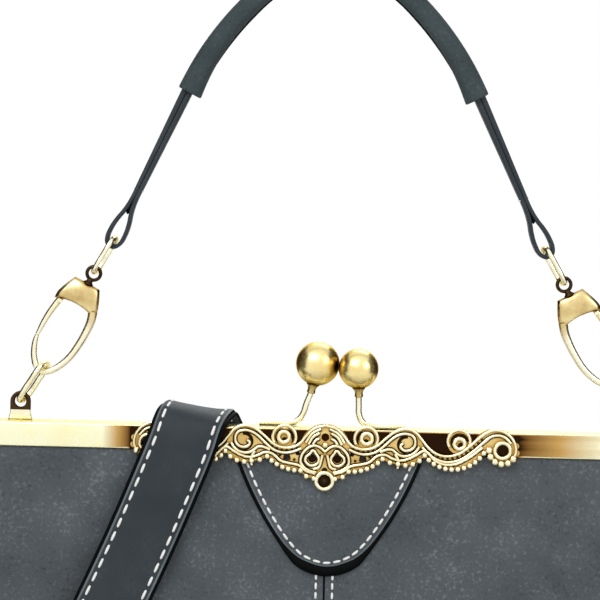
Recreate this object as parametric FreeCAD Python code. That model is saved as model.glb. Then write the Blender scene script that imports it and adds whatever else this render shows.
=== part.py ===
import FreeCAD, Part
import math
import os

# Kiss lock frame purse, in millimetres. X runs to the right, the front faces -Y, Z is up.
# The origin is the middle of the base, on the surface that the purse stands on.

# Metal frame: two inverted U channels that meet at the plane y = 0
frame_width = 276.0
frame_top = 185.0
frame_corner_radius = 14.0
bar_height = 9.2
channel_depth = 5.0
channel_wall = 0.8
closing_gap = 0.2
leg_length = 60.0
leg_end_clearance = 4.0
least_corner_radius = 1.0
end_block_height = 5.0

# Hinge at the leg ends
lug_thickness = 1.5
lug_radius = 3.6
lug_side_gap = 0.1
lug_margin = 0.3
rivet_radius = 1.5
rivet_fit = 0.04
rivet_head_radius = 2.7
rivet_head_height = 1.2
rivet_end_play = 0.05
rivet_head_round = 0.9

# Leather body
body_width = 290.0
base_depth = 90.0
leather_thickness = 1.8
leather_fit = 0.2
panel_side_gap = 0.5
seam_gap = 0.1
shoulder_inset = 4.0
flank_height = 30.0
side_flank_height = 40.0
fold_drop = 3.0
fold_rise = 4.7
hinge_notch_drop = 7.0
base_thickness = 2.2
board_thickness = 2.0
lining_thickness = 0.8
lining_gap = 0.3
paper_cord_diameter = 1.2
paper_cord_fit = 0.1
groove_reach = 0.8

# Tongue under the ornament
tongue_thickness = 0.85
tongue_half_width = 34.4
tongue_length = 44.9
# The tongue's sides bow outwards: depth and half width, as shares, at their middle and where the tip starts
tongue_middle = (0.54, 0.67)
tongue_tip_start = (0.9, 0.335)
tongue_top_gap = 0.4

# Ornament plate, measured from the middle of the bar's top edge
plate_thickness = 1.4
bead_radius = 0.95
bead_pitch = 2.3
petal_count = 8
petal_radius = 1.25

# Kiss lock balls
left_ball_radius = 8.25
right_ball_radius = 7.5
left_ball_x = -3.4
right_ball_x = 11.9
left_ball_height = 23.8
right_ball_height = 22.7
ball_offset = 2.2
collar_radius = 1.9
collar_length = 3.2
stem_diameter = 2.35
stem_bend_radius = 5.0
stem_foot_length = 13.0
left_stem_lean = 12.0
right_stem_lean = -2.0
solder_gap = 0.05

# Ears, links, clips, rings
ear_inset = 22.8
ear_eye_height = 6.9
ear_radius = 3.8
ear_hole_radius = 2.2
ear_thickness = 2.4
ear_foot_width = 9.0
ear_foot_height = 2.6
link_wire = 2.3
link_length = 18.6
link_half_width = 5.7
link_corner_radius = 3.4
link_lean = 32.5
link_eye_offset = 0.7
bow_seat_gap = 0.65

clip_lean = 27.4
clip_length = 37.0
clip_width = 17.0
clip_cap_height = 11.0
clip_neck_width = 6.0
clip_shoulder_width = 14.0
clip_shoulder_drop = 4.2
bow_wire = 2.6
bow_thickness = 2.6
bow_seat_radius = 3.6
bow_seat_turn = 78.0
cap_thickness = 4.4
gate_thickness = 3.0
gate_outside = 8.2
gate_tab_thickness = 1.6
gate_slot_gap = 0.15
gate_pin_radius = 0.7
gate_pin_fit = 0.03
gate_tab_radius = 2.0
gate_spring_thickness = 0.3
gate_spring_reach = 7.6
gate_spring_gap = 0.2

eye_rise = 6.2
eye_radius = 3.2
eye_hole_radius = 1.9
eye_thickness = 2.4
shank_radius = 1.1
shank_fit = 0.05
shank_head_radius = 1.75
shank_head_height = 1.2
shank_neck_radius = 1.7
shank_head_depth = 4.0

ring_wire = 1.9
ring_length = 16.4
ring_width = 14.0
ring_corner_radius = 3.0
ring_lean = 30.0
ring_eye_offset = 0.8

# Handle
strap_lean = 25.1
handle_strap_length = 61.5
handle_strap_width = 8.0
handle_strap_thickness = 3.6
loop_inner_radius = 2.4
loop_wall = 1.8
loop_length = 19.0
loop_seat_gap = 0.5
strap_tuck_length = 12.0
sleeve_apex_radius = 40.5
sleeve_apex_angle = 43.0
sleeve_thickness = 8.4
sleeve_width = 11.6
sleeve_corner = 3.6
sleeve_bore_gap = 0.3
core_gap = 0.3

# Shoulder strap
shoulder_width = 25.0
shoulder_thickness = 3.2

# Worked out from the values above
half_width = frame_width / 2
pivot_z = frame_top - leg_length
leg_end_z = pivot_z + leg_end_clearance
channel_face = closing_gap + channel_depth
leather_face = channel_face - channel_wall - leather_fit
leather_back = leather_face - leather_thickness
ear_y = closing_gap + channel_depth / 2
panel_side = half_width - bar_height - panel_side_gap
fold_top_z = pivot_z + fold_rise
fold_low_z = pivot_z - fold_drop
notch_z = pivot_z - hinge_notch_drop
inner_inset = leather_thickness + lining_gap
far = 2 * frame_width


def vector(x, y, z):
    """Return a point or direction."""
    return FreeCAD.Vector(x, y, z)


def front_plane(y):
    """Map (x, z) to the upright plane at depth y."""
    return lambda x, z: vector(x, y, z)


def side_plane(x):
    """Map (y, z) to the upright plane at side position x."""
    return lambda y, z: vector(x, y, z)


def leaning_plane(origin, lean, y):
    """Map (across, along) to an upright plane whose along axis leans from vertical towards +X."""
    angle = math.radians(lean)
    across_axis = vector(math.cos(angle), 0, -math.sin(angle))
    along_axis = vector(math.sin(angle), 0, math.cos(angle))
    base = vector(origin.x, y, origin.z)
    return lambda across, along: base + across_axis * across + along_axis * along


def lean_direction(lean):
    """Return the unit direction that leans from vertical towards +X."""
    angle = math.radians(lean)
    return vector(math.sin(angle), 0, math.cos(angle))


def face_of(place, start, steps):
    """Build a closed face: a step is a point for a straight edge or (middle, end) for an arc."""
    edges = []
    here = start
    for step in steps:
        if isinstance(step[0], tuple):
            middle, end = step
            edges.append(Part.Arc(place(*here), place(*middle), place(*end)).toShape())
        else:
            end = step
            edges.append(Part.LineSegment(place(*here), place(*end)).toShape())
        here = end
    if here != start:
        edges.append(Part.LineSegment(place(*here), place(*start)).toShape())
    return Part.Face(Part.Wire(edges))


def box_between(low, high):
    """Return a box between two opposite corners."""
    size = [b - a for a, b in zip(low, high)]
    return Part.makeBox(size[0], size[1], size[2], vector(*low))


def mirrored_x(shape):
    """Return the same piece for the other side of the purse."""
    return shape.mirror(vector(0, 0, 0), vector(1, 0, 0))


def mirrored_y(shape):
    """Return the same piece for the other half of the frame."""
    return shape.mirror(vector(0, 0, 0), vector(0, 1, 0))


def rod(start, end, radius):
    """Return a round rod between two points."""
    axis = end - start
    return Part.makeCylinder(radius, axis.Length, start, axis)


def y_cylinder(center, radius, length):
    """Return a cylinder along Y, centred on a point."""
    return Part.makeCylinder(radius, length, center - vector(0, length / 2, 0), vector(0, 1, 0))


def swept_wire(edges, radius):
    """Return a round wire bent along a path of lines and tangent arcs."""
    path = Part.Wire(edges)
    first = path.Edges[0]
    start = first.valueAt(first.FirstParameter)
    tangent = first.tangentAt(first.FirstParameter)
    circle = Part.Circle(start, tangent, radius).toShape()
    return path.makePipe(Part.Face(Part.Wire(circle)))


def arch_face(y, inset, bottom_z):
    """Return the area under the frame's outline, set in by inset, down to bottom_z."""
    side = half_width - inset
    top = frame_top - inset
    radius = max(frame_corner_radius - inset, least_corner_radius)
    reach = radius * (1 - math.sqrt(0.5))
    steps = [
        (-side, top - radius),
        ((-side + reach, top - reach), (-side + radius, top)),
        (side - radius, top),
        ((side - reach, top - reach), (side, top - radius)),
        (side, bottom_z),
    ]
    return face_of(front_plane(y), (-side, bottom_z), steps)


def arch_solid(y_low, y_high, inset, bottom_z):
    """Extrude the area under the frame's outline between two depths."""
    return arch_face(y_low, inset, bottom_z).extrude(vector(0, y_high - y_low, 0))


def front_rim():
    """Return the front channel without its lugs, open towards the leather."""
    rim = arch_solid(-channel_face, -closing_gap, 0, leg_end_z)
    rim = rim.cut(arch_solid(-channel_face - 1, 1, bar_height, leg_end_z - 1))
    groove_z = leg_end_z + end_block_height
    groove = arch_solid(-channel_face + channel_wall, -closing_gap - channel_wall, channel_wall, groove_z)
    middle = arch_solid(-channel_face, 0, bar_height + 1, groove_z - 1)
    return rim.cut(groove.cut(middle))


def lug(x_inner):
    """Return one hinge lug of the front half on the right, with its rivet hole."""
    place = side_plane(x_inner)
    web_top = leg_end_z + end_block_height / 2
    steps = [
        (-closing_gap, web_top),
        (-closing_gap, pivot_z),
        (-lug_radius, pivot_z),
        (-channel_face, leg_end_z),
    ]
    web = face_of(place, (-channel_face, web_top), steps).extrude(vector(lug_thickness, 0, 0))
    start = vector(x_inner, 0, pivot_z)
    disc = Part.makeCylinder(lug_radius, lug_thickness, start, vector(1, 0, 0))
    hole = Part.makeCylinder(rivet_radius + rivet_fit, lug_thickness, start, vector(1, 0, 0))
    return web.fuse(disc).cut(hole)


outer_lug_x = half_width - lug_margin - lug_thickness
inner_lug_x = outer_lug_x - lug_side_gap - lug_thickness


def front_frame():
    """Return the front half of the frame: channel and inner lugs."""
    right = lug(inner_lug_x)
    return front_rim().fuse([right, mirrored_x(right)]).removeSplitter()


def back_frame():
    """Return the back half of the frame: channel and outer lugs."""
    right = mirrored_y(lug(outer_lug_x))
    return mirrored_y(front_rim()).fuse([right, mirrored_x(right)]).removeSplitter()


def right_pivot_rivet():
    """Return the right hinge rivet with a head on each side of the two lugs."""
    inner = inner_lug_x - rivet_end_play
    outer = outer_lug_x + lug_thickness + rivet_end_play
    axis = vector(1, 0, 0)
    shaft = Part.makeCylinder(rivet_radius, outer - inner, vector(inner, 0, pivot_z), axis)
    head = Part.makeCylinder(rivet_head_radius, rivet_head_height, vector(outer, 0, pivot_z), axis)
    head = head.makeFillet(rivet_head_round, [head.Edges[0]])
    foot_x = inner - rivet_head_height
    foot = Part.makeCylinder(rivet_head_radius, rivet_head_height, vector(foot_x, 0, pivot_z), axis)
    return shaft.fuse([head, foot])


def paper_cord():
    """Return the front paper cord that wedges the leather in the channel."""
    radius = paper_cord_diameter / 2
    inset = (channel_wall + bar_height) / 2
    side = half_width - inset
    top = frame_top - inset
    bend = frame_corner_radius - inset
    reach = bend * (1 - math.sqrt(0.5))
    low = leg_end_z + end_block_height + paper_cord_diameter
    place = front_plane(-leather_back + paper_cord_fit + radius)
    left_leg = place(-side, top - bend)
    left_bar = place(-side + bend, top)
    right_bar = place(side - bend, top)
    right_leg = place(side, top - bend)
    edges = [
        Part.LineSegment(place(-side, low), left_leg).toShape(),
        Part.Arc(left_leg, place(-side + reach, top - reach), left_bar).toShape(),
        Part.LineSegment(left_bar, right_bar).toShape(),
        Part.Arc(right_bar, place(side - reach, top - reach), right_leg).toShape(),
        Part.LineSegment(right_leg, place(side, low)).toShape(),
    ]
    return swept_wire(edges, radius)


def bag_face(place, top_half, low_half, low_z, inset):
    """Return the bag's outline in one upright plane: swelling flanks over straight walls."""
    swell = low_half - top_half
    drop = fold_low_z - low_z
    turn = 2 * math.atan(swell / drop)
    radius = drop / (2 * math.sin(turn))

    def upper(angle, side):
        reach = radius + inset
        return (side * (top_half + radius - reach * math.cos(angle)), fold_low_z - reach * math.sin(angle))

    def lower(angle, side):
        reach = radius - inset
        return (side * (low_half - radius + reach * math.cos(angle)), low_z + reach * math.sin(angle))

    steps = [
        (upper(turn / 2, 1), upper(turn, 1)),
        (lower(turn / 2, 1), lower(0, 1)),
        (low_half - inset, 0.0),
        (inset - low_half, 0.0),
        lower(0, -1),
        (lower(turn / 2, -1), lower(turn, -1)),
        (upper(turn / 2, -1), upper(0, -1)),
    ]
    return face_of(place, upper(0, 1), steps)


def side_solid(inset):
    """Return the bag's side outline, set in by inset, drawn across the whole width."""
    face = bag_face(side_plane(-far), leather_face, base_depth / 2, flank_height, inset)
    return face.extrude(vector(2 * far, 0, 0))


def front_solid(inset):
    """Return the bag's front outline, set in by inset, drawn through the whole depth."""
    top_half = half_width - shoulder_inset
    face = bag_face(front_plane(-far), top_half, body_width / 2, side_flank_height, inset)
    return face.extrude(vector(0, 2 * far, 0))


def slab(low_z, high_z):
    """Return a wide slab between two heights."""
    return box_between((-far, -far, low_z), (far, far, high_z))


def hinge_notches():
    """Return the two corners that the leather leaves free round the hinge."""
    right = box_between((panel_side, -far, notch_z), (far, far, far))
    return [right, mirrored_x(right)]


def front_panel_lower():
    """Return the front leather below the hinge line."""
    wall = side_solid(0).cut(side_solid(leather_thickness))
    front = box_between((-far, -far, base_thickness), (far, 0, fold_low_z))
    return wall.common(front).common(front_solid(0)).cut(hinge_notches())


def panel_upper(bottom_z):
    """Return the flat front leather held in the channel, from bottom_z up."""
    inset = channel_wall + groove_reach
    block_z = leg_end_z + end_block_height + groove_reach
    held = arch_solid(-leather_face, -leather_back, inset, block_z)
    low = box_between((-panel_side, -leather_face, bottom_z), (panel_side, -leather_back, block_z + 1))
    return held.fuse(low).removeSplitter()


def front_fold():
    """Return the strip of front leather that bends at the hinge line."""
    low = (-panel_side, -leather_face, fold_low_z + seam_gap)
    high = (panel_side, -leather_back, fold_top_z - seam_gap)
    return box_between(low, high)


def back_panel():
    """Return the back leather from the base to the back channel in one piece."""
    lower = mirrored_y(front_panel_lower())
    return lower.fuse(mirrored_y(panel_upper(fold_low_z))).removeSplitter()


def left_gusset():
    """Return the left side wall between the front and back leather."""
    wall = front_solid(0).cut(front_solid(leather_thickness))
    left = box_between((-far, -far, base_thickness), (0, far, notch_z))
    return wall.common(left).common(side_solid(leather_thickness + seam_gap))


def base_panel():
    """Return the leather bottom that the purse stands on."""
    return side_solid(0).common(front_solid(0)).common(slab(0, base_thickness))


def bag_inside(inset, low_z):
    """Return the room inside the bag, set in by inset, from low_z to the hinge notch."""
    return side_solid(inset).common(front_solid(inset)).common(slab(low_z, notch_z))


def base_board():
    """Return the stiff board that lies on the leather bottom."""
    room = bag_inside(inner_inset, base_thickness)
    return room.common(slab(base_thickness, base_thickness + board_thickness))


def lining():
    """Return the lining as a thin open bag inside the leather."""
    floor_z = base_thickness + board_thickness + lining_gap
    outside = bag_inside(inner_inset, floor_z)
    inside = side_solid(inner_inset + lining_thickness).common(front_solid(inner_inset + lining_thickness))
    return outside.cut(inside.common(slab(floor_z + lining_thickness, far)))


def tongue_point(share):
    """Return the (across, up) point of the tongue's right edge at shares of its length and half width."""
    depth, half = share
    top_z = frame_top - bar_height - tongue_top_gap
    return (half * tongue_half_width, top_z - depth * tongue_length)


def tongue():
    """Return the flap on the front leather, with bowed sides and a round tip."""
    top = tongue_point((0.0, 1.0))
    middle = tongue_point(tongue_middle)
    tip_start = tongue_point(tongue_tip_start)
    tip = tongue_point((1.0, 0.0))
    steps = [
        top,
        (middle, tip_start),
        (tip, (-tip_start[0], tip_start[1])),
        ((-middle[0], middle[1]), (-top[0], top[1])),
    ]
    face = face_of(front_plane(-leather_face), (-top[0], top[1]), steps)
    return face.extrude(vector(0, -tongue_thickness, 0))


# Ornament outline on the right of the middle: (across, above the bar's top edge)
arch_top = (0.0, 2.0)
upper_edge = [
    ((6.75, -0.8), (9.3, -5.4)),
    ((15.4, -6.9), (21.5, -5.0)),
    ((24.8, -1.9), (27.2, 0.0)),
    ((31.8, 1.2), (36.2, -4.4)),
    ((46.0, -9.2), (55.5, -3.6)),
    ((63.8, 1.6), (70.8, -3.2)),
]
rosette_center = (66.4, -6.4)
rosette_radius = 5.2
rosette_hole = 2.2
lower_edge = [
    ((48.0, -14.0), (37.3, -8.9)),
    ((33.2, -12.2), (27.4, -12.4)),
    ((24.6, -12.0), (21.6, -10.6)),
    ((15.6, -14.6), (9.0, -15.7)),
    ((6.8, -17.8), (3.2, -18.4)),
]
band_end = (60.4, -5.4)
drop_ring = (0.0, -19.4, 3.9, 2.35)
scroll_rings = [
    (15.2, -3.2, 4.7, 3.6),
    (15.2, -4.3, 2.7, 1.1),
    (50.2, -3.6, 4.6, 3.5),
    (50.8, -4.9, 2.7, 1.2),
]
round_holes = [(4.7, -11.0, 1.6), (20.4, -8.6, 0.9), (14.2, -10.6, 1.3), (10.2, -9.2, 0.8)]
middle_holes = [(0.0, -2.9, 1.5), (0.0, -15.4, 1.1)]
comma_center = (30.4, -5.0)
comma_radius = 3.6
comma_slot = 1.3
comma_start = 80.0
comma_middle = 190.0
comma_end = 300.0


def plate_place(across, above):
    """Map ornament coordinates to the front face of the bar."""
    return vector(across, -channel_face, frame_top + above)


def flip(step):
    """Mirror one outline step to the left of the middle."""
    if isinstance(step[0], tuple):
        return tuple((-across, above) for across, above in step)
    return (-step[0], step[1])


def reverse_steps(start, steps):
    """Return the same chain of steps walked from its end back to its start."""
    ends = [start]
    for step in steps:
        ends.append(step[1] if isinstance(step[0], tuple) else step)
    back = []
    for index in range(len(steps) - 1, -1, -1):
        step = steps[index]
        if isinstance(step[0], tuple):
            back.append((step[0], ends[index]))
        else:
            back.append(ends[index])
    return back


def plate_disc(across, above, radius):
    """Return a round boss of the ornament's thickness."""
    return Part.makeCylinder(radius, plate_thickness, plate_place(across, above), vector(0, -1, 0))


def plate_ring(across, above, outer, inner):
    """Return a flat ring of the ornament's thickness."""
    return plate_disc(across, above, outer).cut(plate_disc(across, above, inner))


def comma_cut():
    """Return the curled slot of the comma scroll on the right."""
    outer = comma_radius
    inner = comma_radius - comma_slot

    def at(radius, degrees):
        angle = math.radians(degrees)
        return (comma_center[0] + radius * math.cos(angle), comma_center[1] + radius * math.sin(angle))

    steps = [
        (at(outer, comma_middle), at(outer, comma_end)),
        at(inner, comma_end),
        (at(inner, comma_middle), at(inner, comma_start)),
    ]
    return face_of(plate_place, at(outer, comma_start), steps).extrude(vector(0, -plate_thickness, 0))


def edge_beads():
    """Return the row of beads along the scalloped lower edge on the right."""
    beads = []
    here = band_end
    for middle, end in lower_edge[:4]:
        arc = Part.Arc(plate_place(*here), plate_place(*middle), plate_place(*end)).toShape()
        count = int(arc.Length / bead_pitch)
        for point in arc.discretize(Number=count + 1)[1:]:
            beads.append(Part.makeCylinder(bead_radius, plate_thickness, point, vector(0, -1, 0)))
        here = end
    return beads


def rosette():
    """Return the petalled rosette at the right end of the ornament."""
    across, above = rosette_center
    pieces = [plate_disc(across, above, rosette_radius)]
    for index in range(petal_count):
        angle = math.radians(20 - 200 * index / (petal_count - 1))
        petal_x = across + rosette_radius * math.cos(angle)
        petal_z = above + rosette_radius * math.sin(angle)
        pieces.append(plate_disc(petal_x, petal_z, petal_radius))
    return pieces


def filigree_plate():
    """Return the openwork ornament on the front bar, alike on both sides of the middle."""
    down = [band_end] + lower_edge
    right = upper_edge + down
    start = arch_top
    left = [flip(step) for step in reverse_steps(start, right)]
    bottom_left = (-lower_edge[-1][1][0], lower_edge[-1][1][1])
    plate = face_of(plate_place, start, right + [bottom_left] + left)
    plate = plate.extrude(vector(0, -plate_thickness, 0))
    added = rosette() + edge_beads()
    removed = [plate_disc(*rosette_center, rosette_hole), comma_cut()]
    for across, above, outer, inner in scroll_rings:
        added.append(plate_ring(across, above, outer, inner))
    for across, above, radius in round_holes:
        removed.append(plate_disc(across, above, radius))
    added = added + [mirrored_x(piece) for piece in added]
    removed = removed + [mirrored_x(piece) for piece in removed]
    across, above, outer, inner = drop_ring
    added.append(plate_disc(across, above, outer))
    removed.append(plate_disc(across, above, inner))
    for across, above, radius in middle_holes:
        removed.append(plate_disc(across, above, radius))
    return plate.fuse(added).cut(removed).removeSplitter()


def kiss_ball(x, height, radius, lean, y):
    """Return a ball with its neck collar, and the lower end of the collar."""
    center = vector(x, y, frame_top + height)
    direction = lean_direction(lean)
    collar_end = center - direction * (radius + collar_length)
    collar = Part.makeCylinder(collar_radius, collar_length + radius / 2, collar_end, direction)
    return Part.makeSphere(radius, center).fuse(collar).removeSplitter(), collar_end


def ball_stem(collar_end, lean, side):
    """Return the wire stem from the collar down to its foot along the bar, side -1 to the left."""
    radius = stem_diameter / 2
    place = front_plane(collar_end.y)
    foot_z = frame_top + solder_gap + radius
    turn = math.radians(90 + side * lean)
    bend_x = stem_bend_radius * math.sin(turn)
    bend_z = stem_bend_radius * (1 - math.cos(turn))
    rise = collar_end.z - foot_z - bend_z
    knee_x = collar_end.x - rise * math.tan(math.radians(lean))
    bend_start = knee_x + side * bend_x
    half = turn / 2
    middle_x = bend_start - side * stem_bend_radius * math.sin(half)
    middle_z = foot_z + stem_bend_radius * (1 - math.cos(half))
    knee = place(knee_x, foot_z + bend_z)
    foot_end = place(bend_start + side * stem_foot_length, foot_z)
    heel = place(bend_start, foot_z)
    edges = [
        Part.LineSegment(foot_end, heel).toShape(),
        Part.Arc(heel, place(middle_x, middle_z), knee).toShape(),
        Part.LineSegment(knee, collar_end).toShape(),
    ]
    return swept_wire(edges, radius)


# The chain of fittings on the left, from the ear up to the sleeve
ear_center = vector(ear_inset - half_width, ear_y, frame_top + ear_eye_height)
link_axis = lean_direction(link_lean)
link_low = ear_center + link_axis * link_eye_offset
link_top = link_low + link_axis * (link_length - link_wire)
bow_seat = link_top - link_axis * (link_wire / 2 + bow_wire / 2 + bow_seat_gap)
clip_axis = lean_direction(clip_lean)
cap_top = clip_length - bow_wire / 2
swivel_center = bow_seat + clip_axis * (cap_top + eye_rise)
ring_axis = lean_direction(ring_lean)
ring_low = swivel_center + ring_axis * ring_eye_offset
ring_top = ring_low + ring_axis * (ring_length - ring_wire)
strap_axis = lean_direction(strap_lean)
sleeve_end = ring_top + strap_axis * handle_strap_length


def left_ear():
    """Return the left ear: an upright eye on a foot that sits on the back bar."""
    place = front_plane(ear_y - ear_thickness / 2)
    foot = ear_foot_width / 2
    x = ear_center.x
    steps = [
        (x + foot, frame_top),
        (x + ear_radius, frame_top + ear_foot_height),
        (x + ear_radius, ear_center.z),
        ((x, ear_center.z + ear_radius), (x - ear_radius, ear_center.z)),
        (x - ear_radius, frame_top + ear_foot_height),
    ]
    plate = face_of(place, (x - foot, frame_top), steps).extrude(vector(0, ear_thickness, 0))
    return plate.cut(y_cylinder(ear_center, ear_hole_radius, 2 * ear_thickness))


def oval_loop(low, high, half, corner, wire):
    """Return a wire loop with rounded corners between two points, in the plane of its length and Y."""
    axis = (high - low).normalize()
    length = (high - low).Length
    flat = half - corner
    reach = corner * (1 - math.sqrt(0.5))

    def at(across, along):
        return low + axis * along + vector(0, across, 0)

    edges = []
    for side, start in ((1, 0), (-1, length)):
        step = 1 if side > 0 else -1
        low_bend = start + step * corner
        high_bend = start + step * (length - corner)
        end = start + step * length
        edges += [
            Part.LineSegment(at(side * half, low_bend), at(side * half, high_bend)).toShape(),
            Part.Arc(
                at(side * half, high_bend),
                at(side * (half - reach), end - step * reach),
                at(side * flat, end)).toShape(),
            Part.LineSegment(at(side * flat, end), at(-side * flat, end)).toShape(),
            Part.Arc(
                at(-side * flat, end),
                at(-side * (half - reach), end - step * reach),
                at(-side * half, high_bend)).toShape(),
        ]
    return swept_wire(edges, wire / 2)


def left_link():
    """Return the left oval link through the ear."""
    return oval_loop(link_low, link_top, link_half_width, link_corner_radius, link_wire)


def left_handle_ring():
    """Return the left oval ring between the swivel eye and the handle strap."""
    half = (ring_width - ring_wire) / 2
    return oval_loop(ring_low, ring_top, half, ring_corner_radius, ring_wire)


# Snap clip, in (across, along) from the seat of the bow; across is positive towards the middle
clip_half = clip_width / 2
clip_neck = clip_neck_width / 2
cap_low = cap_top - clip_cap_height
wire_half = bow_wire / 2
cap_gate_corner = (-4.0, cap_low + 0.5)
gate_pin_at = (-6.2, cap_low + 2.3)
gate_top = cap_low - 0.5


def clip_solid(start, steps, thickness):
    """Extrude an outline of the left clip to a thickness, centred on the handle's plane."""
    place = leaning_plane(bow_seat, clip_lean, ear_y - thickness / 2)
    return face_of(place, start, steps).extrude(vector(0, thickness, 0))


def clip_point(across, along):
    """Return the point of the left clip's middle plane at (across, along)."""
    return leaning_plane(bow_seat, clip_lean, ear_y)(across, along)


def cap_steps():
    """Return the outline steps of the cap from its neck down the inner shoulder."""
    shoulder = (clip_shoulder_width / 2, cap_top - clip_shoulder_drop)
    return shoulder, (clip_half, cap_low)


def seat_point(radius, degrees):
    """Return the clip coordinates on the bow's round seat, degrees away from its lowest point."""
    angle = math.radians(degrees)
    return (radius * math.sin(angle), bow_seat_radius - radius * math.cos(angle))


def bow_seat_wire():
    """Return the round bottom of the bow, which turns in the link."""
    first = clip_point(*seat_point(bow_seat_radius, bow_seat_turn))
    last = clip_point(*seat_point(bow_seat_radius, -bow_seat_turn))
    return swept_wire([Part.Arc(first, clip_point(0, 0), last).toShape()], wire_half)


def left_clip():
    """Return the left clip body: domed cap and tapering bow round an open eye."""
    shoulder, inner_corner = cap_steps()
    outer_shoulder = (-shoulder[0], shoulder[1])
    outer_corner = (-clip_half, cap_low)
    underside = ((0.4, cap_low + 1.9), cap_gate_corner)
    leg_inner_top = (4.9, cap_low - 2.1)
    seat_inside = bow_seat_radius - wire_half
    seat_outside = bow_seat_radius + wire_half
    leg = clip_solid((-clip_neck, cap_top), [
        (clip_neck, cap_top),
        (shoulder, inner_corner),
        ((7.5, 11.5), seat_point(seat_outside, bow_seat_turn)),
        seat_point(seat_inside, bow_seat_turn),
        ((5.2, 12.0), leg_inner_top),
        underside,
        outer_corner,
        (outer_shoulder, (-clip_neck, cap_top)),
    ], bow_thickness)
    tip = clip_solid(seat_point(seat_outside, -bow_seat_turn), [
        ((-5.9, 4.6), (-6.7, 7.0)),
        (-5.3, 7.0),
        ((-4.35, 4.75), seat_point(seat_inside, -bow_seat_turn)),
    ], bow_thickness)
    cap = clip_solid((-clip_neck, cap_top), [
        (clip_neck, cap_top),
        (shoulder, inner_corner),
        leg_inner_top,
        underside,
        outer_corner,
        (outer_shoulder, (-clip_neck, cap_top)),
    ], cap_thickness)
    slot_top = gate_pin_at[1] + gate_tab_radius + 2 * gate_spring_gap + gate_spring_thickness
    slot = clip_solid((-2 * clip_half, cap_low - 2), [
        (cap_gate_corner[0] + 0.2, cap_low - 2),
        (cap_gate_corner[0] + 0.2, slot_top),
        (-2 * clip_half, slot_top),
    ], gate_tab_thickness + 2 * gate_slot_gap)
    pin_hole = y_cylinder(clip_point(*gate_pin_at), gate_pin_radius + gate_pin_fit, 2 * cap_thickness)
    bore = rod(clip_point(0, cap_low), clip_point(0, cap_top + 1), shank_radius + shank_fit)
    head_room_top = clip_point(0, cap_top - shank_head_depth)
    head_room = rod(clip_point(0, cap_low), head_room_top, shank_head_radius + shank_fit)
    bow = leg.fuse([bow_seat_wire(), tip, cap])
    return bow.cut([slot, pin_hole, bore, head_room]).removeSplitter()


def left_gate():
    """Return the left clip's gate: a bowed bar that laps inside the tip of the bow."""
    bar = clip_solid((-gate_outside, gate_top), [
        (-4.6, gate_top),
        ((-5.5, 15.5), (-4.2, 8.6)),
        (-3.5, 5.9),
        (-4.1, 5.2),
        (-4.9, 7.4),
        (-6.8, 7.4),
        ((-8.3, 15.0), (-gate_outside, gate_top)),
    ], gate_thickness)
    pin_center = clip_point(*gate_pin_at)
    tab = y_cylinder(pin_center, gate_tab_radius, gate_tab_thickness)
    neck_x = gate_pin_at[0]
    neck = clip_solid((neck_x - 1.4, gate_top - 1), [
        (neck_x + 1.4, gate_top - 1),
        (neck_x + 1.4, gate_pin_at[1]),
        (neck_x - 1.4, gate_pin_at[1]),
    ], gate_tab_thickness)
    hole = y_cylinder(pin_center, gate_pin_radius + gate_pin_fit, 2 * gate_thickness)
    return bar.fuse([tab, neck]).cut(hole).removeSplitter()


def left_gate_pin():
    """Return the pin that the left gate turns on."""
    return y_cylinder(clip_point(*gate_pin_at), gate_pin_radius, cap_thickness)


def left_gate_spring():
    """Return the leaf spring that lies over the gate's tab in the cap's slot."""
    low = gate_pin_at[1] + gate_tab_radius + gate_spring_gap
    high = low + gate_spring_thickness
    steps = [(cap_gate_corner[0], low), (cap_gate_corner[0], high), (-gate_spring_reach, high)]
    return clip_solid((-gate_spring_reach, low), steps, gate_tab_thickness)


def left_swivel_eye():
    """Return the left swivel eye, whose shank turns in the clip's cap."""
    along = cap_top + eye_rise
    disc = y_cylinder(swivel_center, eye_radius, eye_thickness)
    neck = rod(clip_point(0, cap_top + shank_fit), clip_point(0, along - eye_radius / 2), shank_neck_radius)
    head_top = cap_top - shank_head_depth - shank_fit
    shank = rod(clip_point(0, head_top - shank_head_height), clip_point(0, cap_top + 1), shank_radius)
    head = rod(clip_point(0, head_top - shank_head_height), clip_point(0, head_top), shank_head_radius)
    hole = y_cylinder(swivel_center, eye_hole_radius, 4 * eye_thickness)
    return disc.fuse([neck, shank, head]).cut(hole).removeSplitter()


# Sleeve path: a round crown and two flatter sides that end along the straps
end_slope = math.radians(90 - strap_lean)
crown_angle = math.radians(sleeve_apex_angle)
side_reach = -sleeve_end.x - sleeve_apex_radius * math.sin(crown_angle)
side_radius = side_reach / (math.sin(end_slope) - math.sin(crown_angle))
side_angle = 90 - strap_lean - sleeve_apex_angle
side_rise = side_radius * (math.cos(crown_angle) - math.cos(end_slope))
crown_rise = sleeve_apex_radius * (1 - math.cos(crown_angle))
apex_z = sleeve_end.z + side_rise + crown_rise
crown_center = vector(0, ear_y, apex_z - sleeve_apex_radius)
crown_normal = vector(-math.sin(crown_angle), 0, math.cos(crown_angle))
side_center = crown_center - crown_normal * (side_radius - sleeve_apex_radius)
y_axis = vector(0, 1, 0)


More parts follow.
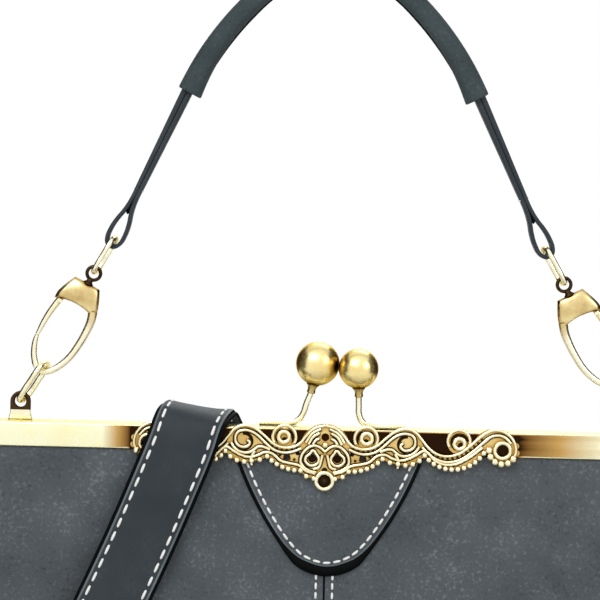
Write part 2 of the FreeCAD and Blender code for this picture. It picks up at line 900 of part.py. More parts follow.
def handle_section(thickness, width, corner):
    """Return a rounded cross section of the handle at its crown, in the plane x = 0."""
    half_y = width / 2
    half_z = thickness / 2
    reach = corner * (1 - math.sqrt(0.5))

    def at(across, along):
        return vector(0, ear_y + across, apex_z + along)

    steps = []
    corners = [(1, 1, False), (1, -1, True), (-1, -1, False), (-1, 1, True)]
    for side_y, side_z, upright in corners:
        first = (side_y * (half_y - corner), side_z * half_z)
        last = (side_y * half_y, side_z * (half_z - corner))
        middle = (side_y * (half_y - reach), side_z * (half_z - reach))
        if upright:
            first, last = last, first
        steps.append(first)
        steps.append((middle, last))
    return face_of(at, (corner - half_y, half_z), steps)


def handle_run(section, start_angle, end_angle, center):
    """Turn a crown section along one arc of the sleeve's path, between two angles from the crown."""
    face = section.copy()
    face.rotate(center, y_axis, start_angle)
    return face.revolve(center, y_axis, end_angle - start_angle)


def side_section(section):
    """Return a crown section moved to the left end of the crown arc."""
    face = section.copy()
    face.rotate(crown_center, y_axis, -sleeve_apex_angle)
    return face


def handle_tube(thickness, width, corner, stop_angle):
    """Return a solid along the sleeve's path that ends stop_angle before the straps' ends."""
    section = handle_section(thickness, width, corner)
    crown = handle_run(section, -sleeve_apex_angle, sleeve_apex_angle, crown_center)
    left = side_section(section).revolve(side_center, y_axis, stop_angle - side_angle)
    return crown.fuse([left, mirrored_x(left)]).removeSplitter()


bore_thickness = handle_strap_thickness + 2 * sleeve_bore_gap
bore_width = handle_strap_width + 2 * sleeve_bore_gap
tuck_angle = math.degrees(strap_tuck_length / side_radius)
core_stop_angle = math.degrees((strap_tuck_length + core_gap) / side_radius)


def handle_sleeve():
    """Return the leather sleeve of the handle, hollow for the straps and the core."""
    outside = handle_tube(sleeve_thickness, sleeve_width, sleeve_corner, 0)
    return outside.cut(handle_tube(bore_thickness, bore_width, sleeve_bore_gap, 0))


def handle_core():
    """Return the core that fills the sleeve between the two straps."""
    return handle_tube(handle_strap_thickness, handle_strap_width, sleeve_bore_gap, core_stop_angle)


def left_handle_strap():
    """Return the left strap: a sewn loop round the ring, a doubled run and an end in the sleeve."""
    inner = loop_inner_radius
    outer = inner + loop_wall
    half = handle_strap_thickness / 2
    center = inner - ring_wire / 2 - loop_seat_gap

    def tangent_point(radius, tip_across, tip_along):
        span = math.hypot(tip_across, tip_along - center)
        lean = math.atan2(tip_across, tip_along - center)
        turn = lean + math.acos(radius / span)
        return (radius * math.sin(turn), center + radius * math.cos(turn))

    place = leaning_plane(ring_top, strap_lean, ear_y - handle_strap_width / 2)
    touch = tangent_point(outer, half, loop_length)
    run = face_of(place, (half, handle_strap_length), [
        (half, loop_length),
        touch,
        ((0.0, center - outer), (-touch[0], touch[1])),
        (-half, loop_length),
        (-half, handle_strap_length),
    ])
    point = loop_length - loop_wall
    grip = tangent_point(inner, 0.0, point)
    opening = face_of(place, (0.0, point), [
        grip,
        ((0.0, center - inner), (-grip[0], grip[1])),
    ])
    depth = vector(0, handle_strap_width, 0)
    run = run.extrude(depth).cut(opening.extrude(depth))
    section = handle_section(handle_strap_thickness, handle_strap_width, sleeve_bore_gap)
    end = side_section(section)
    end.rotate(side_center, y_axis, -side_angle)
    tuck = end.revolve(side_center, y_axis, tuck_angle)
    return run.fuse(tuck)


# Shoulder strap: points along its middle and the way its good side faces there
left_end_route = [
    ((-145.6, 0, 60), (-1, 0, 0)),
    ((-143.5, 0, 75), (-1, 0, 0)),
    ((-141.6, 0, 88), (-1, 0, 0)),
    ((-142.6, 0, 102), (-0.97, 0, -0.25)),
    ((-146.6, -2, 116), (-0.75, -0.1, -0.65)),
    ((-154, -7, 124), (-0.15, 0, -0.98)),
    ((-163, -15, 122), (0.45, 0.1, -0.85)),
    ((-169.5, -26, 110), (0.8, 0, -0.5)),
    ((-173, -38, 93), (0.97, 0.1, -0.1)),
    ((-172, -51, 75), (0.9, 0.4, -0.1)),
    ((-168.5, -65, 57), (0.65, 0.75, -0.25)),
    ((-161.5, -79, 40), (0.35, 0.9, -0.2)),
    ((-153, -89, 26), (0.1, 1, 0)),
]
front_route = [
    ((-147, -88, 14), (0, 0.87, 0.5)),
    ((-142, -81, 7), (0, 0.5, 0.87)),
    ((-136.5, -71, 4), (0, 0, 1)),
    ((-131, -61, 7), (0, -0.5, 0.87)),
    ((-126, -53, 14), (0, -0.87, 0.5)),
    ((-121, -50, 26), (0, -1, 0)),
    ((-113.6, -49.2, 42), (0, -1, 0.15)),
    ((-106.8, -44, 57), (0, -0.9, 0.44)),
    ((-101.4, -36.2, 69), (0, -0.77, 0.64)),
    ((-96.2, -27, 80), (0, -0.77, 0.64)),
    ((-88.4, -15.5, 97), (0, -0.91, 0.41)),
    ((-77.4, -9.6, 121), (0, -1, 0)),
    ((-66.9, -9.4, 145), (0, -1, 0)),
    ((-58.9, -10.6, 165), (0, -1, 0)),
    ((-53.4, -11.2, 179), (0, -1, 0.05)),
]
over_route = [
    ((-51, -9.4, 187), (0.06, -0.8, 0.6)),
    ((-49.5, -5, 189.6), (0.16, -0.4, 0.92)),
    ((-48.3, 0, 190.4), (0.2, 0, 1)),
    ((-47.2, 5, 189.6), (0.16, 0.4, 0.92)),
    ((-45.8, 9, 186.8), (0.06, 0.8, 0.6)),
]
back_route = [
    ((-43, 10.4, 178), (0, 1, 0.05)),
    ((-37, 9.8, 165), (0, 1, 0)),
    ((-27, 9.4, 145), (0, 1, 0)),
    ((-13.5, 9.6, 121), (0, 1, 0)),
    ((0, 15.5, 97), (0, 0.91, 0.41)),
    ((10, 27, 80), (0, 0.77, 0.64)),
    ((16.5, 36.2, 69), (0, 0.77, 0.64)),
    ((23.5, 44, 57), (0, 0.9, 0.44)),
    ((33, 49.2, 42), (0, 1, 0.15)),
    ((43, 50, 26), (0, 1, 0)),
    ((49, 53, 14), (0, 0.87, 0.5)),
    ((54.5, 61, 7), (0, 0.5, 0.87)),
    ((60.5, 71, 4), (0, 0, 1)),
    ((67, 81, 7), (0, -0.5, 0.87)),
    ((74, 88, 14), (0, -0.87, 0.5)),
]
right_end_route = [
    ((84.5, 91, 26), (-0.1, -1, 0)),
    ((99.5, 89, 42), (-0.2, -0.97, 0.1)),
    ((115.5, 83, 58), (-0.35, -0.9, 0.1)),
    ((131, 74, 74), (-0.5, -0.8, 0)),
    ((146.5, 62, 89), (-0.7, -0.65, -0.2)),
    ((158.5, 47, 103), (-0.8, -0.4, -0.4)),
    ((165, 31, 114), (-0.7, -0.2, -0.65)),
    ((162, 16, 122), (-0.4, -0.1, -0.9)),
    ((154, 7, 124), (0.15, 0, -0.98)),
    ((146.6, 2, 116), (0.75, 0.1, -0.65)),
    ((142.6, 0, 102), (0.97, 0, -0.25)),
    ((141.6, 0, 88), (1, 0, 0)),
    ((143.5, 0, 75), (1, 0, 0)),
    ((145.6, 0, 60), (1, 0, 0)),
]
shoulder_route = left_end_route + front_route + over_route + back_route + right_end_route


def shoulder_strap():
    """Return the flat shoulder strap as a ruled ribbon through its sections, and print its length."""
    points = [vector(*point) for point, facing in shoulder_route]
    sections = []
    for index, (point, facing) in enumerate(shoulder_route):
        before = points[max(index - 1, 0)]
        after = points[min(index + 1, len(points) - 1)]
        along = (after - before).normalize()
        across = vector(*facing).cross(along).normalize()
        normal = along.cross(across)
        half_across = across * (shoulder_width / 2)
        half_normal = normal * (shoulder_thickness / 2)
        middle = points[index]
        corners = [
            middle + half_across + half_normal,
            middle - half_across + half_normal,
            middle - half_across - half_normal,
            middle + half_across - half_normal,
        ]
        sections.append(Part.makePolygon(corners + corners[:1]))
    length = sum((b - a).Length for a, b in zip(points, points[1:]))
    strap = Part.makeLoft(sections, True, True)
    ideal = length * shoulder_width * shoulder_thickness
    print(f"shoulder strap {length:.1f} mm long, volume {strap.Volume / ideal:.3f} of section times length")
    return strap


def build_parts():
    """Return every piece of the purse by name."""
    left_ball, left_collar = kiss_ball(
        left_ball_x, left_ball_height, left_ball_radius, left_stem_lean, ball_offset)
    right_ball, right_collar = kiss_ball(
        right_ball_x, right_ball_height, right_ball_radius, right_stem_lean, -ball_offset)
    cord = paper_cord()
    parts = {
        "front_frame": front_frame(),
        "back_frame": back_frame(),
        "front_paper_cord": cord,
        "back_paper_cord": mirrored_y(cord),
        "front_panel_upper": panel_upper(fold_top_z),
        "front_fold": front_fold(),
        "front_panel_lower": front_panel_lower(),
        "back_panel": back_panel(),
        "base_panel": base_panel(),
        "base_board": base_board(),
        "lining": lining(),
        "tongue": tongue(),
        "filigree_plate": filigree_plate(),
        "left_ball": left_ball,
        "left_ball_stem": ball_stem(left_collar, left_stem_lean, -1),
        "right_ball": right_ball,
        "right_ball_stem": ball_stem(right_collar, right_stem_lean, 1),
        "handle_sleeve": handle_sleeve(),
        "handle_core": handle_core(),
        "shoulder_strap": shoulder_strap(),
    }
    left_pieces = {
        "gusset": left_gusset(),
        "pivot_rivet": mirrored_x(right_pivot_rivet()),
        "ear": left_ear(),
        "link": left_link(),
        "clip": left_clip(),
        "gate": left_gate(),
        "gate_pin": left_gate_pin(),
        "gate_spring": left_gate_spring(),
        "swivel_eye": left_swivel_eye(),
        "handle_ring": left_handle_ring(),
        "handle_strap": left_handle_strap(),
    }
    for name, shape in left_pieces.items():
        parts["left_" + name] = shape
        parts["right_" + name] = mirrored_x(shape)
    return parts


os.makedirs("parts", exist_ok=True)
for name, shape in build_parts().items():
    print(f"{name}: {len(shape.Solids)} solid, valid {shape.isValid()}, {shape.Volume:.1f} mm3")
    shape.exportStep(os.path.join("parts", name + ".step"))
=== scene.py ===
import logging
import math
from bisect import bisect_left
from dataclasses import dataclass
from enum import Enum
from typing import Callable, Iterable, Sequence

import bmesh
import bpy
from bmesh.types import BMesh, BMFace, BMVert
from bpy.types import Curve, ID, Material, Mesh, Node, NodeSocket, NodeTree, Object, Spline
from mathutils import Matrix, Vector, noise


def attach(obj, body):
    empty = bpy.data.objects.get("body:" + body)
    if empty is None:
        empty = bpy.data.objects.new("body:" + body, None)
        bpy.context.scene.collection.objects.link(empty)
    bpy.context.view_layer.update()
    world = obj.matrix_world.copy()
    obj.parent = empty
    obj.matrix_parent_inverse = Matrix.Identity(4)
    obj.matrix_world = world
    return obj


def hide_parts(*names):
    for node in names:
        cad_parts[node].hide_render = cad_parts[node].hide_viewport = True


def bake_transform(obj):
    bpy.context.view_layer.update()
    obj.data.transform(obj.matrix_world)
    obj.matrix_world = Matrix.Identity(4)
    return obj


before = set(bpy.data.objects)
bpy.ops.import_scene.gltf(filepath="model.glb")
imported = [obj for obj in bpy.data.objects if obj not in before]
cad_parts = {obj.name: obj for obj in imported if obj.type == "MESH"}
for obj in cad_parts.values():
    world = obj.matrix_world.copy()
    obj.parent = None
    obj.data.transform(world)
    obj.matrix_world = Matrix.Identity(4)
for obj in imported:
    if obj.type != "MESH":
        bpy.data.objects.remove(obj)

# Looks of a kiss lock frame purse. Sizes are in millimetres until a mesh is finished.
logging.basicConfig(level=logging.INFO, format="%(message)s")
log = logging.getLogger("purse")

MM = 0.001
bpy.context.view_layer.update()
Pair = tuple[float, float]
Triple = tuple[float, float, float]
Colour = tuple[float, float, float, float]
Line = tuple[Pair, ...]
Section = tuple[Vector, Vector, Vector]
Shading = tuple[Material, NodeTree, Node, NodeSocket]

# Heights and depths shared by the sub-assemblies
BAR_TOP = 185.0
BAR_LOW = 175.8
HINGE_Z = 125.0
LEATHER_Y = 4.2
HANDLE_Y = 2.7
TO_BACK = Vector((0, 1, 0))


class Side(Enum):
    """Which side of the purse a fitting is on; the value is the sign of its X."""

    LEFT = -1
    RIGHT = 1


class Body(str, Enum):
    """The bodies that pieces move with."""

    BAG = "bag"
    FRONT = "front_half"
    LINKS = "links"
    HANDLE = "handle"


def linear(code: str) -> Colour:
    """Turn an sRGB hex colour into linear RGBA.

    Args:
        code: Colour such as "#c9a24e".

    Returns:
        Linear red, green, blue and alpha.
    """
    parts = [int(code[i:i + 2], 16) / 255 for i in (1, 3, 5)]
    red, green, blue = [c / 12.92 if c <= 0.04045 else ((c + 0.055) / 1.055) ** 2.4 for c in parts]
    return red, green, blue, 1.0


def add_node(tree: NodeTree, kind: str, inputs: dict | None = None,
             stops: Sequence[tuple[float, Colour]] = (), **settings: object) -> Node:
    """Add a shader node with its settings, ramp stops and links.

    Args:
        tree: Node tree that gets the node.
        kind: Blender's name of the node type.
        inputs: Socket name or index to a constant, or to the output that feeds it.
        stops: Positions and colours of a colour ramp.
        settings: Properties of the node.

    Returns:
        The new node.
    """
    made = tree.nodes.new(kind)
    for key, value in settings.items():
        setattr(made, key, value)
    if stops:
        elements = made.color_ramp.elements
        elements[0].position, elements[0].color = stops[0]
        elements[1].position, elements[1].color = stops[-1]
        for position, colour in stops[1:-1]:
            elements.new(position).color = colour
    for key, value in (inputs or {}).items():
        if isinstance(value, NodeSocket):
            tree.links.new(value, made.inputs[key])
        else:
            made.inputs[key].default_value = value
    return made


def per_metre(size: float) -> float:
    """Return the texture scale at which a feature is size millimetres wide."""
    return 1000.0 / size


def clamp(value: float) -> float:
    """Return the value, held between 0 and 1."""
    return max(0.0, min(1.0, value))


def leaning(angle: float) -> Vector:
    """Return the upward direction that leans to the right by an angle in degrees."""
    return Vector((math.sin(math.radians(angle)), 0, math.cos(math.radians(angle))))


def start_material(name: str) -> Shading:
    """Start a node material.

    Args:
        name: Name of the material.

    Returns:
        The material, its tree, its principled shader and the object coordinates.
    """
    material = bpy.data.materials.new(name)
    material.use_nodes = True
    tree = material.node_tree
    shader = tree.nodes["Principled BSDF"]
    place = add_node(tree, "ShaderNodeTexCoord").outputs["Object"]
    return material, tree, shader, place


@dataclass(frozen=True)
class Brass:
    """Cast and plated brass, antiqued: dark in the recesses, rubbed bright on the high spots.

    Attributes:
        name: Name of the material.
        bright: Colour of the rubbed high spots.
        warm: Colour of the open surface.
        dark: Colour of the patina left in corners.
        roughness: Roughness of the rubbed surface.
        reach: Width of the dark corners in millimetres.
        patina: Distance from the middle in millimetres inside which the patina stays, 0 for none.
        shade_and_tone_to: Colour that it fades to where the mesh's "wear" value is 1, empty for none: a
            painted reflection of the dark leather on the lock balls' lower pole, a paler tone on the clip's
            bow.
        cloud: Width of a cloud of tarnish in millimetres.
        smear: Width of a polishing smear in millimetres, drawn coarse to show.
        streak: Width of a streak along the bar in millimetres, drawn coarse to show.
        drift: How far the streaks fray the end of the patina, in millimetres.
        aged: Two colours of the patina between dark and bright.
        fade_right: Where the right fade starts and ends past the patina, in millimetres.
        fade_left: The same on the left.
        top_painted_highlight: Depths below the bar's top where a painted highlight, the white surround's
            reflection on the top edge, starts and where it is full.
        lip_painted_highlight: Heights above the bar's lower edge of the same, for the floor's painted
            reflection along the lower edge.
    """

    name: str
    bright: str
    warm: str
    dark: str
    roughness: float
    reach: float
    patina: float = 0.0
    shade_and_tone_to: str = ""
    cloud: float = 9.0
    smear: float = 2.5
    streak: float = 2.4
    drift: float = 10.0
    aged: tuple[str, str] = ("#80592c", "#c9a05c")
    fade_right: Pair = (5.0, 41.0)
    fade_left: Pair = (1.0, 12.0)
    top_painted_highlight: Pair = (0.7, 0.1)
    lip_painted_highlight: Pair = (0.9, 0.4)

    def bar_patina(self, tree: NodeTree, place: NodeSocket,
                   polished: NodeSocket) -> NodeSocket:
        """Add the patina of the bar's middle, which its rubbed ends have lost, and the painted highlights
        along its top and lower edges.

        Args:
            tree: Node tree of the material.
            place: Object coordinates.
            polished: Colour of the rubbed brass.

        Returns:
            The colour with the patina.
        """
        axes = add_node(tree, "ShaderNodeSeparateXYZ", {"Vector": place})
        long_grain = add_node(tree, "ShaderNodeMapping", {"Vector": place, "Scale": (0.07, 1.0, 1.0)})
        streak = add_node(tree, "ShaderNodeTexNoise", {
            "Vector": long_grain.outputs["Vector"], "Scale": per_metre(self.streak), "Detail": 2.0})
        frayed = add_node(tree, "ShaderNodeMath", {
            0: streak.outputs["Fac"], 1: self.drift * MM, 2: axes.outputs["X"]}, operation="MULTIPLY_ADD")
        ramps = []
        for value, edge, way, (near, far) in ((frayed.outputs[0], self.patina, 1, self.fade_right),
                                              (axes.outputs["X"], -self.patina, -1, self.fade_left),
                                              (axes.outputs["Z"], BAR_TOP, -1, self.top_painted_highlight),
                                              (axes.outputs["Z"], BAR_LOW, 1, self.lip_painted_highlight)):
            ramp = add_node(tree, "ShaderNodeMapRange", {
                "Value": value, "From Min": (edge + way * near) * MM, "From Max": (edge + way * far) * MM})
            ramps.append(ramp.outputs[0])
        # rubbed and lip are painted highlights: the white surround's reflection on the top edge, and the
        # floor's on the lower edge near the ends
        right, left, rubbed, lip = ramps
        ends = add_node(tree, "ShaderNodeMath", {0: right, 1: left}, operation="MAXIMUM")
        lip_highlight_near_ends = add_node(tree, "ShaderNodeMapRange", {
            "Value": ends.outputs[0], "From Max": 0.1, "To Max": lip})
        edges = add_node(tree, "ShaderNodeMath", {0: rubbed, 1: lip_highlight_near_ends.outputs[0]}, operation="MAXIMUM")
        fade = add_node(tree, "ShaderNodeMath", {
            0: ends.outputs[0], 1: edges.outputs[0]}, operation="MAXIMUM")
        brown, straw = self.aged
        aged = add_node(tree, "ShaderNodeValToRGB", {"Fac": fade.outputs[0]}, stops=[
            (0.0, linear(self.dark)), (0.10, linear(brown)), (0.45, linear(straw)),
            (1.0, linear(self.bright))])
        clean = add_node(tree, "ShaderNodeMapRange", {
            "Value": fade.outputs[0], "From Min": 0.85, "From Max": 1.0})
        mixed = add_node(tree, "ShaderNodeMix", {
            0: clean.outputs[0], 6: aged.outputs["Color"], 7: polished}, data_type="RGBA")
        return mixed.outputs[2]

    def material(self) -> Material:
        """Return the node material of this brass."""
        material, tree, shader, place = start_material(self.name)
        cloud = add_node(tree, "ShaderNodeTexNoise", {
            "Vector": place, "Scale": per_metre(self.cloud), "Detail": 3.0})
        corner = add_node(tree, "ShaderNodeAmbientOcclusion", {"Distance": self.reach * MM}, samples=8)
        open_share = add_node(tree, "ShaderNodeMath", {
            0: corner.outputs["AO"], 1: 0.82}, operation="MULTIPLY")
        worn = add_node(tree, "ShaderNodeMath", {
            0: cloud.outputs["Fac"], 1: 0.30, 2: open_share.outputs[0]}, operation="MULTIPLY_ADD")
        tint = add_node(tree, "ShaderNodeValToRGB", {"Fac": worn.outputs[0]}, stops=[
            (0.35, linear(self.dark)), (0.88, linear(self.warm)), (1.0, linear(self.bright))])
        colour = tint.outputs["Color"]
        if self.patina:
            colour = self.bar_patina(tree, place, colour)
        # On the lock balls this mix paints the dark leather's reflection on the lower pole; on the clip it
        # pales the bow
        if self.shade_and_tone_to:
            painted_shade_and_tone = add_node(tree, "ShaderNodeAttribute", attribute_name="painted_shade_and_tone")
            mixed = add_node(tree, "ShaderNodeMix", {
                0: painted_shade_and_tone.outputs["Fac"], 6: colour, 7: linear(self.shade_and_tone_to)}, data_type="RGBA")
            colour = mixed.outputs[2]
        tree.links.new(colour, shader.inputs["Base Color"])
        smear = add_node(tree, "ShaderNodeTexNoise", {
            "Vector": place, "Scale": per_metre(self.smear), "Detail": 4.0})
        gloss = add_node(tree, "ShaderNodeMapRange", {
            "Value": smear.outputs["Fac"], "To Min": self.roughness * 0.75, "To Max": self.roughness * 1.3})
        tree.links.new(gloss.outputs[0], shader.inputs["Roughness"])
        pits = add_node(tree, "ShaderNodeBump", {
            "Height": smear.outputs["Fac"], "Strength": 0.1, "Distance": 0.015 * MM})
        tree.links.new(pits.outputs["Normal"], shader.inputs["Normal"])
        shader.inputs["Metallic"].default_value = 1.0
        shader.inputs["Specular Tint"].default_value = linear(self.warm)
        return material


@dataclass(frozen=True)
class Leather:
    """Dyed cowhide: fine pebble grain, cloudy colour and a dull sheen.

    Attributes:
        name: Name of the material.
        light: Colour of the rubbed patches.
        deep: Colour of the full dye.
        grain: Width of a grain pebble in millimetres, coarse enough to show.
        relief: Height of the grain in millimetres.
        roughness: Roughness of the surface.
        speckle: Strength of the fine light speckle, 0 to 1.
        gloss: Specular level, low for matt paint.
        dye_cloud: Width of a cloud of uneven dye in millimetres.
        fleck: Width of a light fleck in millimetres, drawn coarse to show.
    """

    name: str
    light: str
    deep: str
    grain: float
    relief: float
    roughness: float
    speckle: float
    gloss: float = 0.16
    dye_cloud: float = 20.0
    fleck: float = 1.3

    def material(self) -> Material:
        """Return the node material of this leather."""
        material, tree, shader, place = start_material(self.name)
        cloud = add_node(tree, "ShaderNodeTexNoise", {
            "Vector": place, "Scale": per_metre(self.dye_cloud), "Detail": 3.0})
        fleck = add_node(tree, "ShaderNodeTexNoise", {
            "Vector": place, "Scale": per_metre(self.fleck), "Detail": 2.0, "Roughness": 0.6})
        pebble = add_node(tree, "ShaderNodeTexVoronoi", {"Vector": place, "Scale": per_metre(self.grain)})
        shade = add_node(tree, "ShaderNodeMix", {
            0: self.speckle, 2: cloud.outputs["Fac"], 3: fleck.outputs["Fac"]}, data_type="FLOAT")
        even = [(a + b) / 2 for a, b in zip(linear(self.deep), linear(self.light))]
        tint = add_node(tree, "ShaderNodeValToRGB", {"Fac": shade.outputs[0]}, stops=[
            (0.2, linear(self.deep)), (0.42, even), (0.55, even), (0.68, linear(self.light))])
        patch = add_node(tree, "ShaderNodeMapRange", {
            "Value": cloud.outputs["Fac"], "From Min": 0.3, "From Max": 0.7, "To Min": 0.84, "To Max": 1.14})
        clouded = add_node(tree, "ShaderNodeMix", {
            0: 1.0, 6: tint.outputs["Color"], 7: patch.outputs[0]}, data_type="RGBA", blend_type="MULTIPLY")
        tree.links.new(clouded.outputs[2], shader.inputs["Base Color"])
        gloss = add_node(tree, "ShaderNodeMapRange", {
            "Value": fleck.outputs["Fac"], "To Min": self.roughness - 0.08, "To Max": self.roughness + 0.12})
        tree.links.new(gloss.outputs[0], shader.inputs["Roughness"])
        height = add_node(tree, "ShaderNodeMath", {
            0: pebble.outputs["Distance"], 1: -0.7, 2: fleck.outputs["Fac"]}, operation="MULTIPLY_ADD")
        bump = add_node(tree, "ShaderNodeBump", {
            "Height": height.outputs[0], "Strength": 0.6, "Distance": self.relief * MM})
        tree.links.new(bump.outputs["Normal"], shader.inputs["Normal"])
        shader.inputs["Specular IOR Level"].default_value = self.gloss
        return material


@dataclass(frozen=True)
class Cloth:
    """Thread, tape or woven cotton: a fine two-way weave with soft fibres.

    Attributes:
        name: Name of the material.
        light: Colour of the raised threads.
        deep: Colour between the threads.
        pitch: Thread spacing in millimetres, coarse enough to show.
        bands: Bands of a wave texture in one unit of its scale, nearly.
    """

    name: str
    light: str
    deep: str
    pitch: float
    bands: float = 3.14

    def material(self) -> Material:
        """Return the node material of this cloth."""
        material, tree, shader, place = start_material(self.name)
        warp, weft = [add_node(tree, "ShaderNodeTexWave", {
            "Vector": place, "Scale": per_metre(self.pitch) / self.bands, "Distortion": 0.6},
            bands_direction=way) for way in ("X", "Z")]
        woven = add_node(tree, "ShaderNodeMath", {
            0: warp.outputs["Fac"], 1: weft.outputs["Fac"]}, operation="MULTIPLY")
        tint = add_node(tree, "ShaderNodeValToRGB", {"Fac": woven.outputs[0]}, stops=[
            (0.0, linear(self.deep)), (0.6, linear(self.light))])
        tree.links.new(tint.outputs["Color"], shader.inputs["Base Color"])
        bump = add_node(tree, "ShaderNodeBump", {
            "Height": woven.outputs[0], "Strength": 0.4, "Distance": 0.1 * MM})
        tree.links.new(bump.outputs["Normal"], shader.inputs["Normal"])
        shader.inputs["Roughness"].default_value = 0.85
        shader.inputs["Sheen Weight"].default_value = 0.2
        return material


class Finish(Enum):
    """The finishes of the purse; each makes its material once."""

    # Plated brass bar: pale gold ends, and a brown patina in the middle that frays out along the bar; a
    # painted highlight runs along its top and lower edges
    BAR = Brass("bright_antiqued_brass_bar", "#fffdd8", "#fff7c2", "#2a190c", 0.26, 1.2, 72.0)
    # Cast openwork: a dull gold ground, nearly black in its corners
    FILIGREE = Brass("antiqued_brass_filigree_ground", "#f0d692", "#c59c4c", "#3a240d", 0.36, 2.4)
    # Raised rails and beads, rubbed by hands: pale and glossy against the ground
    RAIL = Brass("rubbed_brass_filigree_rails", "#fff8d6", "#fdebb4", "#7a5420", 0.28, 0.8)
    # Satin lock balls: broad soft highlights; the dark lower pole is a painted reflection of the dark leather
    # below, and the neck has a dark patina
    BALL = Brass("satin_antiqued_brass_balls", "#fdeaa8", "#efd080", "#3a250c", 0.29, 10.0, shade_and_tone_to="#4a3313")
    # Drawn wire: pale and bright, with thin dark lines where pieces meet
    WIRE = Brass("pale_brass_wire", "#fffbe0", "#f8ebb8", "#4a3316", 0.26, 1.2)
    # Clip castings: a deep gold cap that fades to pale gold along the bow
    CLIP = Brass("antiqued_brass_castings", "#f6e2a6", "#b0873f", "#4d3415", 0.24, 2.4, shade_and_tone_to="#fff8d8")
    # Dark brown brass with a faint gleam: the swivel eyes, the ears' rings and the filigree's dots, and the
    # painted shade beside the filigree's rails and in its holes
    EYE = Brass("dark_brass_and_painted_shade", "#4a3722", "#2e2013", "#140c06", 0.45, 2.0)
    # Pebbled cowhide: light flecks on an even slate ground, the pebbles drawn coarse to show
    BODY = Leather("slate_cowhide_pebbled", "#6c7277", "#262c31", 1.5, 0.2, 0.6, 0.75)
    # Smooth cowhide: darker, with a tight grain drawn coarse to show and a dull sheen
    STRAP = Leather("dark_slate_cowhide_smooth", "#3b4247", "#2a3034", 0.9, 0.08, 0.5, 0.4)
    # Painted highlight: a thin leather line, lighter than the leather beside it, on the strap's upper rim and
    # the tongue's fold
    RIM = Leather("painted_highlight_leather_rim", "#747d81", "#596266", 0.9, 0.05, 0.45, 0.4)
    # Nubuck: matt, with a light nap drawn coarse to show
    HANDLE = Leather("dark_slate_nubuck", "#4a5558", "#2c3538", 1.1, 0.2, 0.7, 0.8)
    # Edge paint: a matt black outline round straps, welts and tongue; at the strap's step and the tongue's tip
    # it is also painted shadow, and in the handle straps' folds painted shade
    EDGE = Leather("edge_paint_and_painted_shade", "#0b0d0e", "#050606", 1.2, 0.05, 0.6, 0.4, 0.05)
    # Waxed thread: clean white dashes, their twist drawn coarse to show
    THREAD = Cloth("waxed_white_thread", "#ffffff", "#f0efea", 0.5)
    # Cotton lining: a dark, soft plain weave drawn coarse to show
    LINING = Cloth("dark_cotton_lining", "#3d4145", "#1d2023", 0.6)
    # Fibre board: dull grey-brown with matted fibres drawn coarse to show
    BOARD = Cloth("grey_fibre_board", "#8a8176", "#6a6258", 1.5)
    # Paper cord: straw-coloured, with the ridges of its twist
    CORD = Cloth("twisted_paper_cord", "#c9b48c", "#93815f", 0.7)
    # Spring steel: grey and bright, darker in its corners
    STEEL = Brass("spring_steel_leaf", "#d4d4d2", "#a9a9a8", "#4a4a4a", 0.3, 1.0)

    def material(self) -> Material:
        """Return this finish's material, made on first use."""
        return bpy.data.materials.get(self.value.name) or self.value.material()


def dress(obj: Object, *finishes: Finish) -> None:
    """Give an object these finishes in its material slots.

    Args:
        obj: Object whose slots are replaced.
        finishes: Finish of each slot in order.
    """
    obj.data.materials.clear()
    for finish in finishes:
        obj.data.materials.append(finish.material())


def baked(bm: BMesh, name: str) -> Mesh:
    """Turn a bmesh into a mesh and free it.

    Args:
        bm: Bmesh to turn.
        name: Name of the mesh.

    Returns:
        The new mesh.
    """
    mesh = bpy.data.meshes.new(name)
    bm.to_mesh(mesh)
    bm.free()
    return mesh


def in_scene(name: str, data: ID) -> Object:
    """Make an object from its data and link it to the scene.

    Args:
        name: Name of the object.
        data: Mesh, camera or light.

    Returns:
        The new object.
    """
    obj = bpy.data.objects.new(name, data)
    bpy.context.scene.collection.objects.link(obj)
    return obj


def piece(name: str, shape: BMesh | Mesh, body: str, finishes: Sequence[Finish],
          replaces: Sequence[str] = (),
          smooth: float | None = 40.0) -> Object:
    """Make a finished object from a mesh in millimetres and let it ride on a body.

    Args:
        name: Name of the piece.
        shape: Its mesh in millimetres; a bmesh is freed.
        body: Body that it moves with, or an empty string for a piece that rides on no body.
        finishes: Finishes of its material slots.
        replaces: CAD nodes that it stands for.
        smooth: Angle in degrees under which edges are smooth, or None for all smooth.

    Returns:
        The new object.
    """
    mesh = baked(shape, name) if isinstance(shape, BMesh) else shape
    mesh.transform(Matrix.Scale(MM, 4))
    mesh.shade_smooth()
    if smooth is not None:
        mesh.set_sharp_from_angle(angle=math.radians(smooth))
    obj = in_scene(name, mesh)
    indices = [polygon.material_index for polygon in mesh.polygons]
    dress(obj, *finishes)
    mesh.polygons.foreach_set("material_index", [min(i, len(finishes) - 1) for i in indices])
    if body:
        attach(obj, body)
    if replaces:
        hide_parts(*replaces)
    log.info("%s: %d faces", name, len(mesh.polygons))
    return obj


def thickened(obj: Object, thickness: float, offset: float = -1.0, rounding: float = 0.0) -> None:
    """Give a sheet its thickness and rounded edges.

    Args:
        obj: Sheet to thicken.
        thickness: Thickness in millimetres.
        offset: -1 to grow inwards, 0 both ways, 1 outwards.
        rounding: Width of the edge rounding in millimetres, 0 for none.
    """
    wall = obj.modifiers.new("thickness", "SOLIDIFY")
    wall.thickness = thickness * MM
    wall.offset = offset
    wall.use_even_offset = True
    if rounding:
        edge = obj.modifiers.new("edges", "BEVEL")
        edge.width = rounding * MM
        edge.segments = 2
        edge.limit_method = "ANGLE"
        edge.angle_limit = math.radians(50)


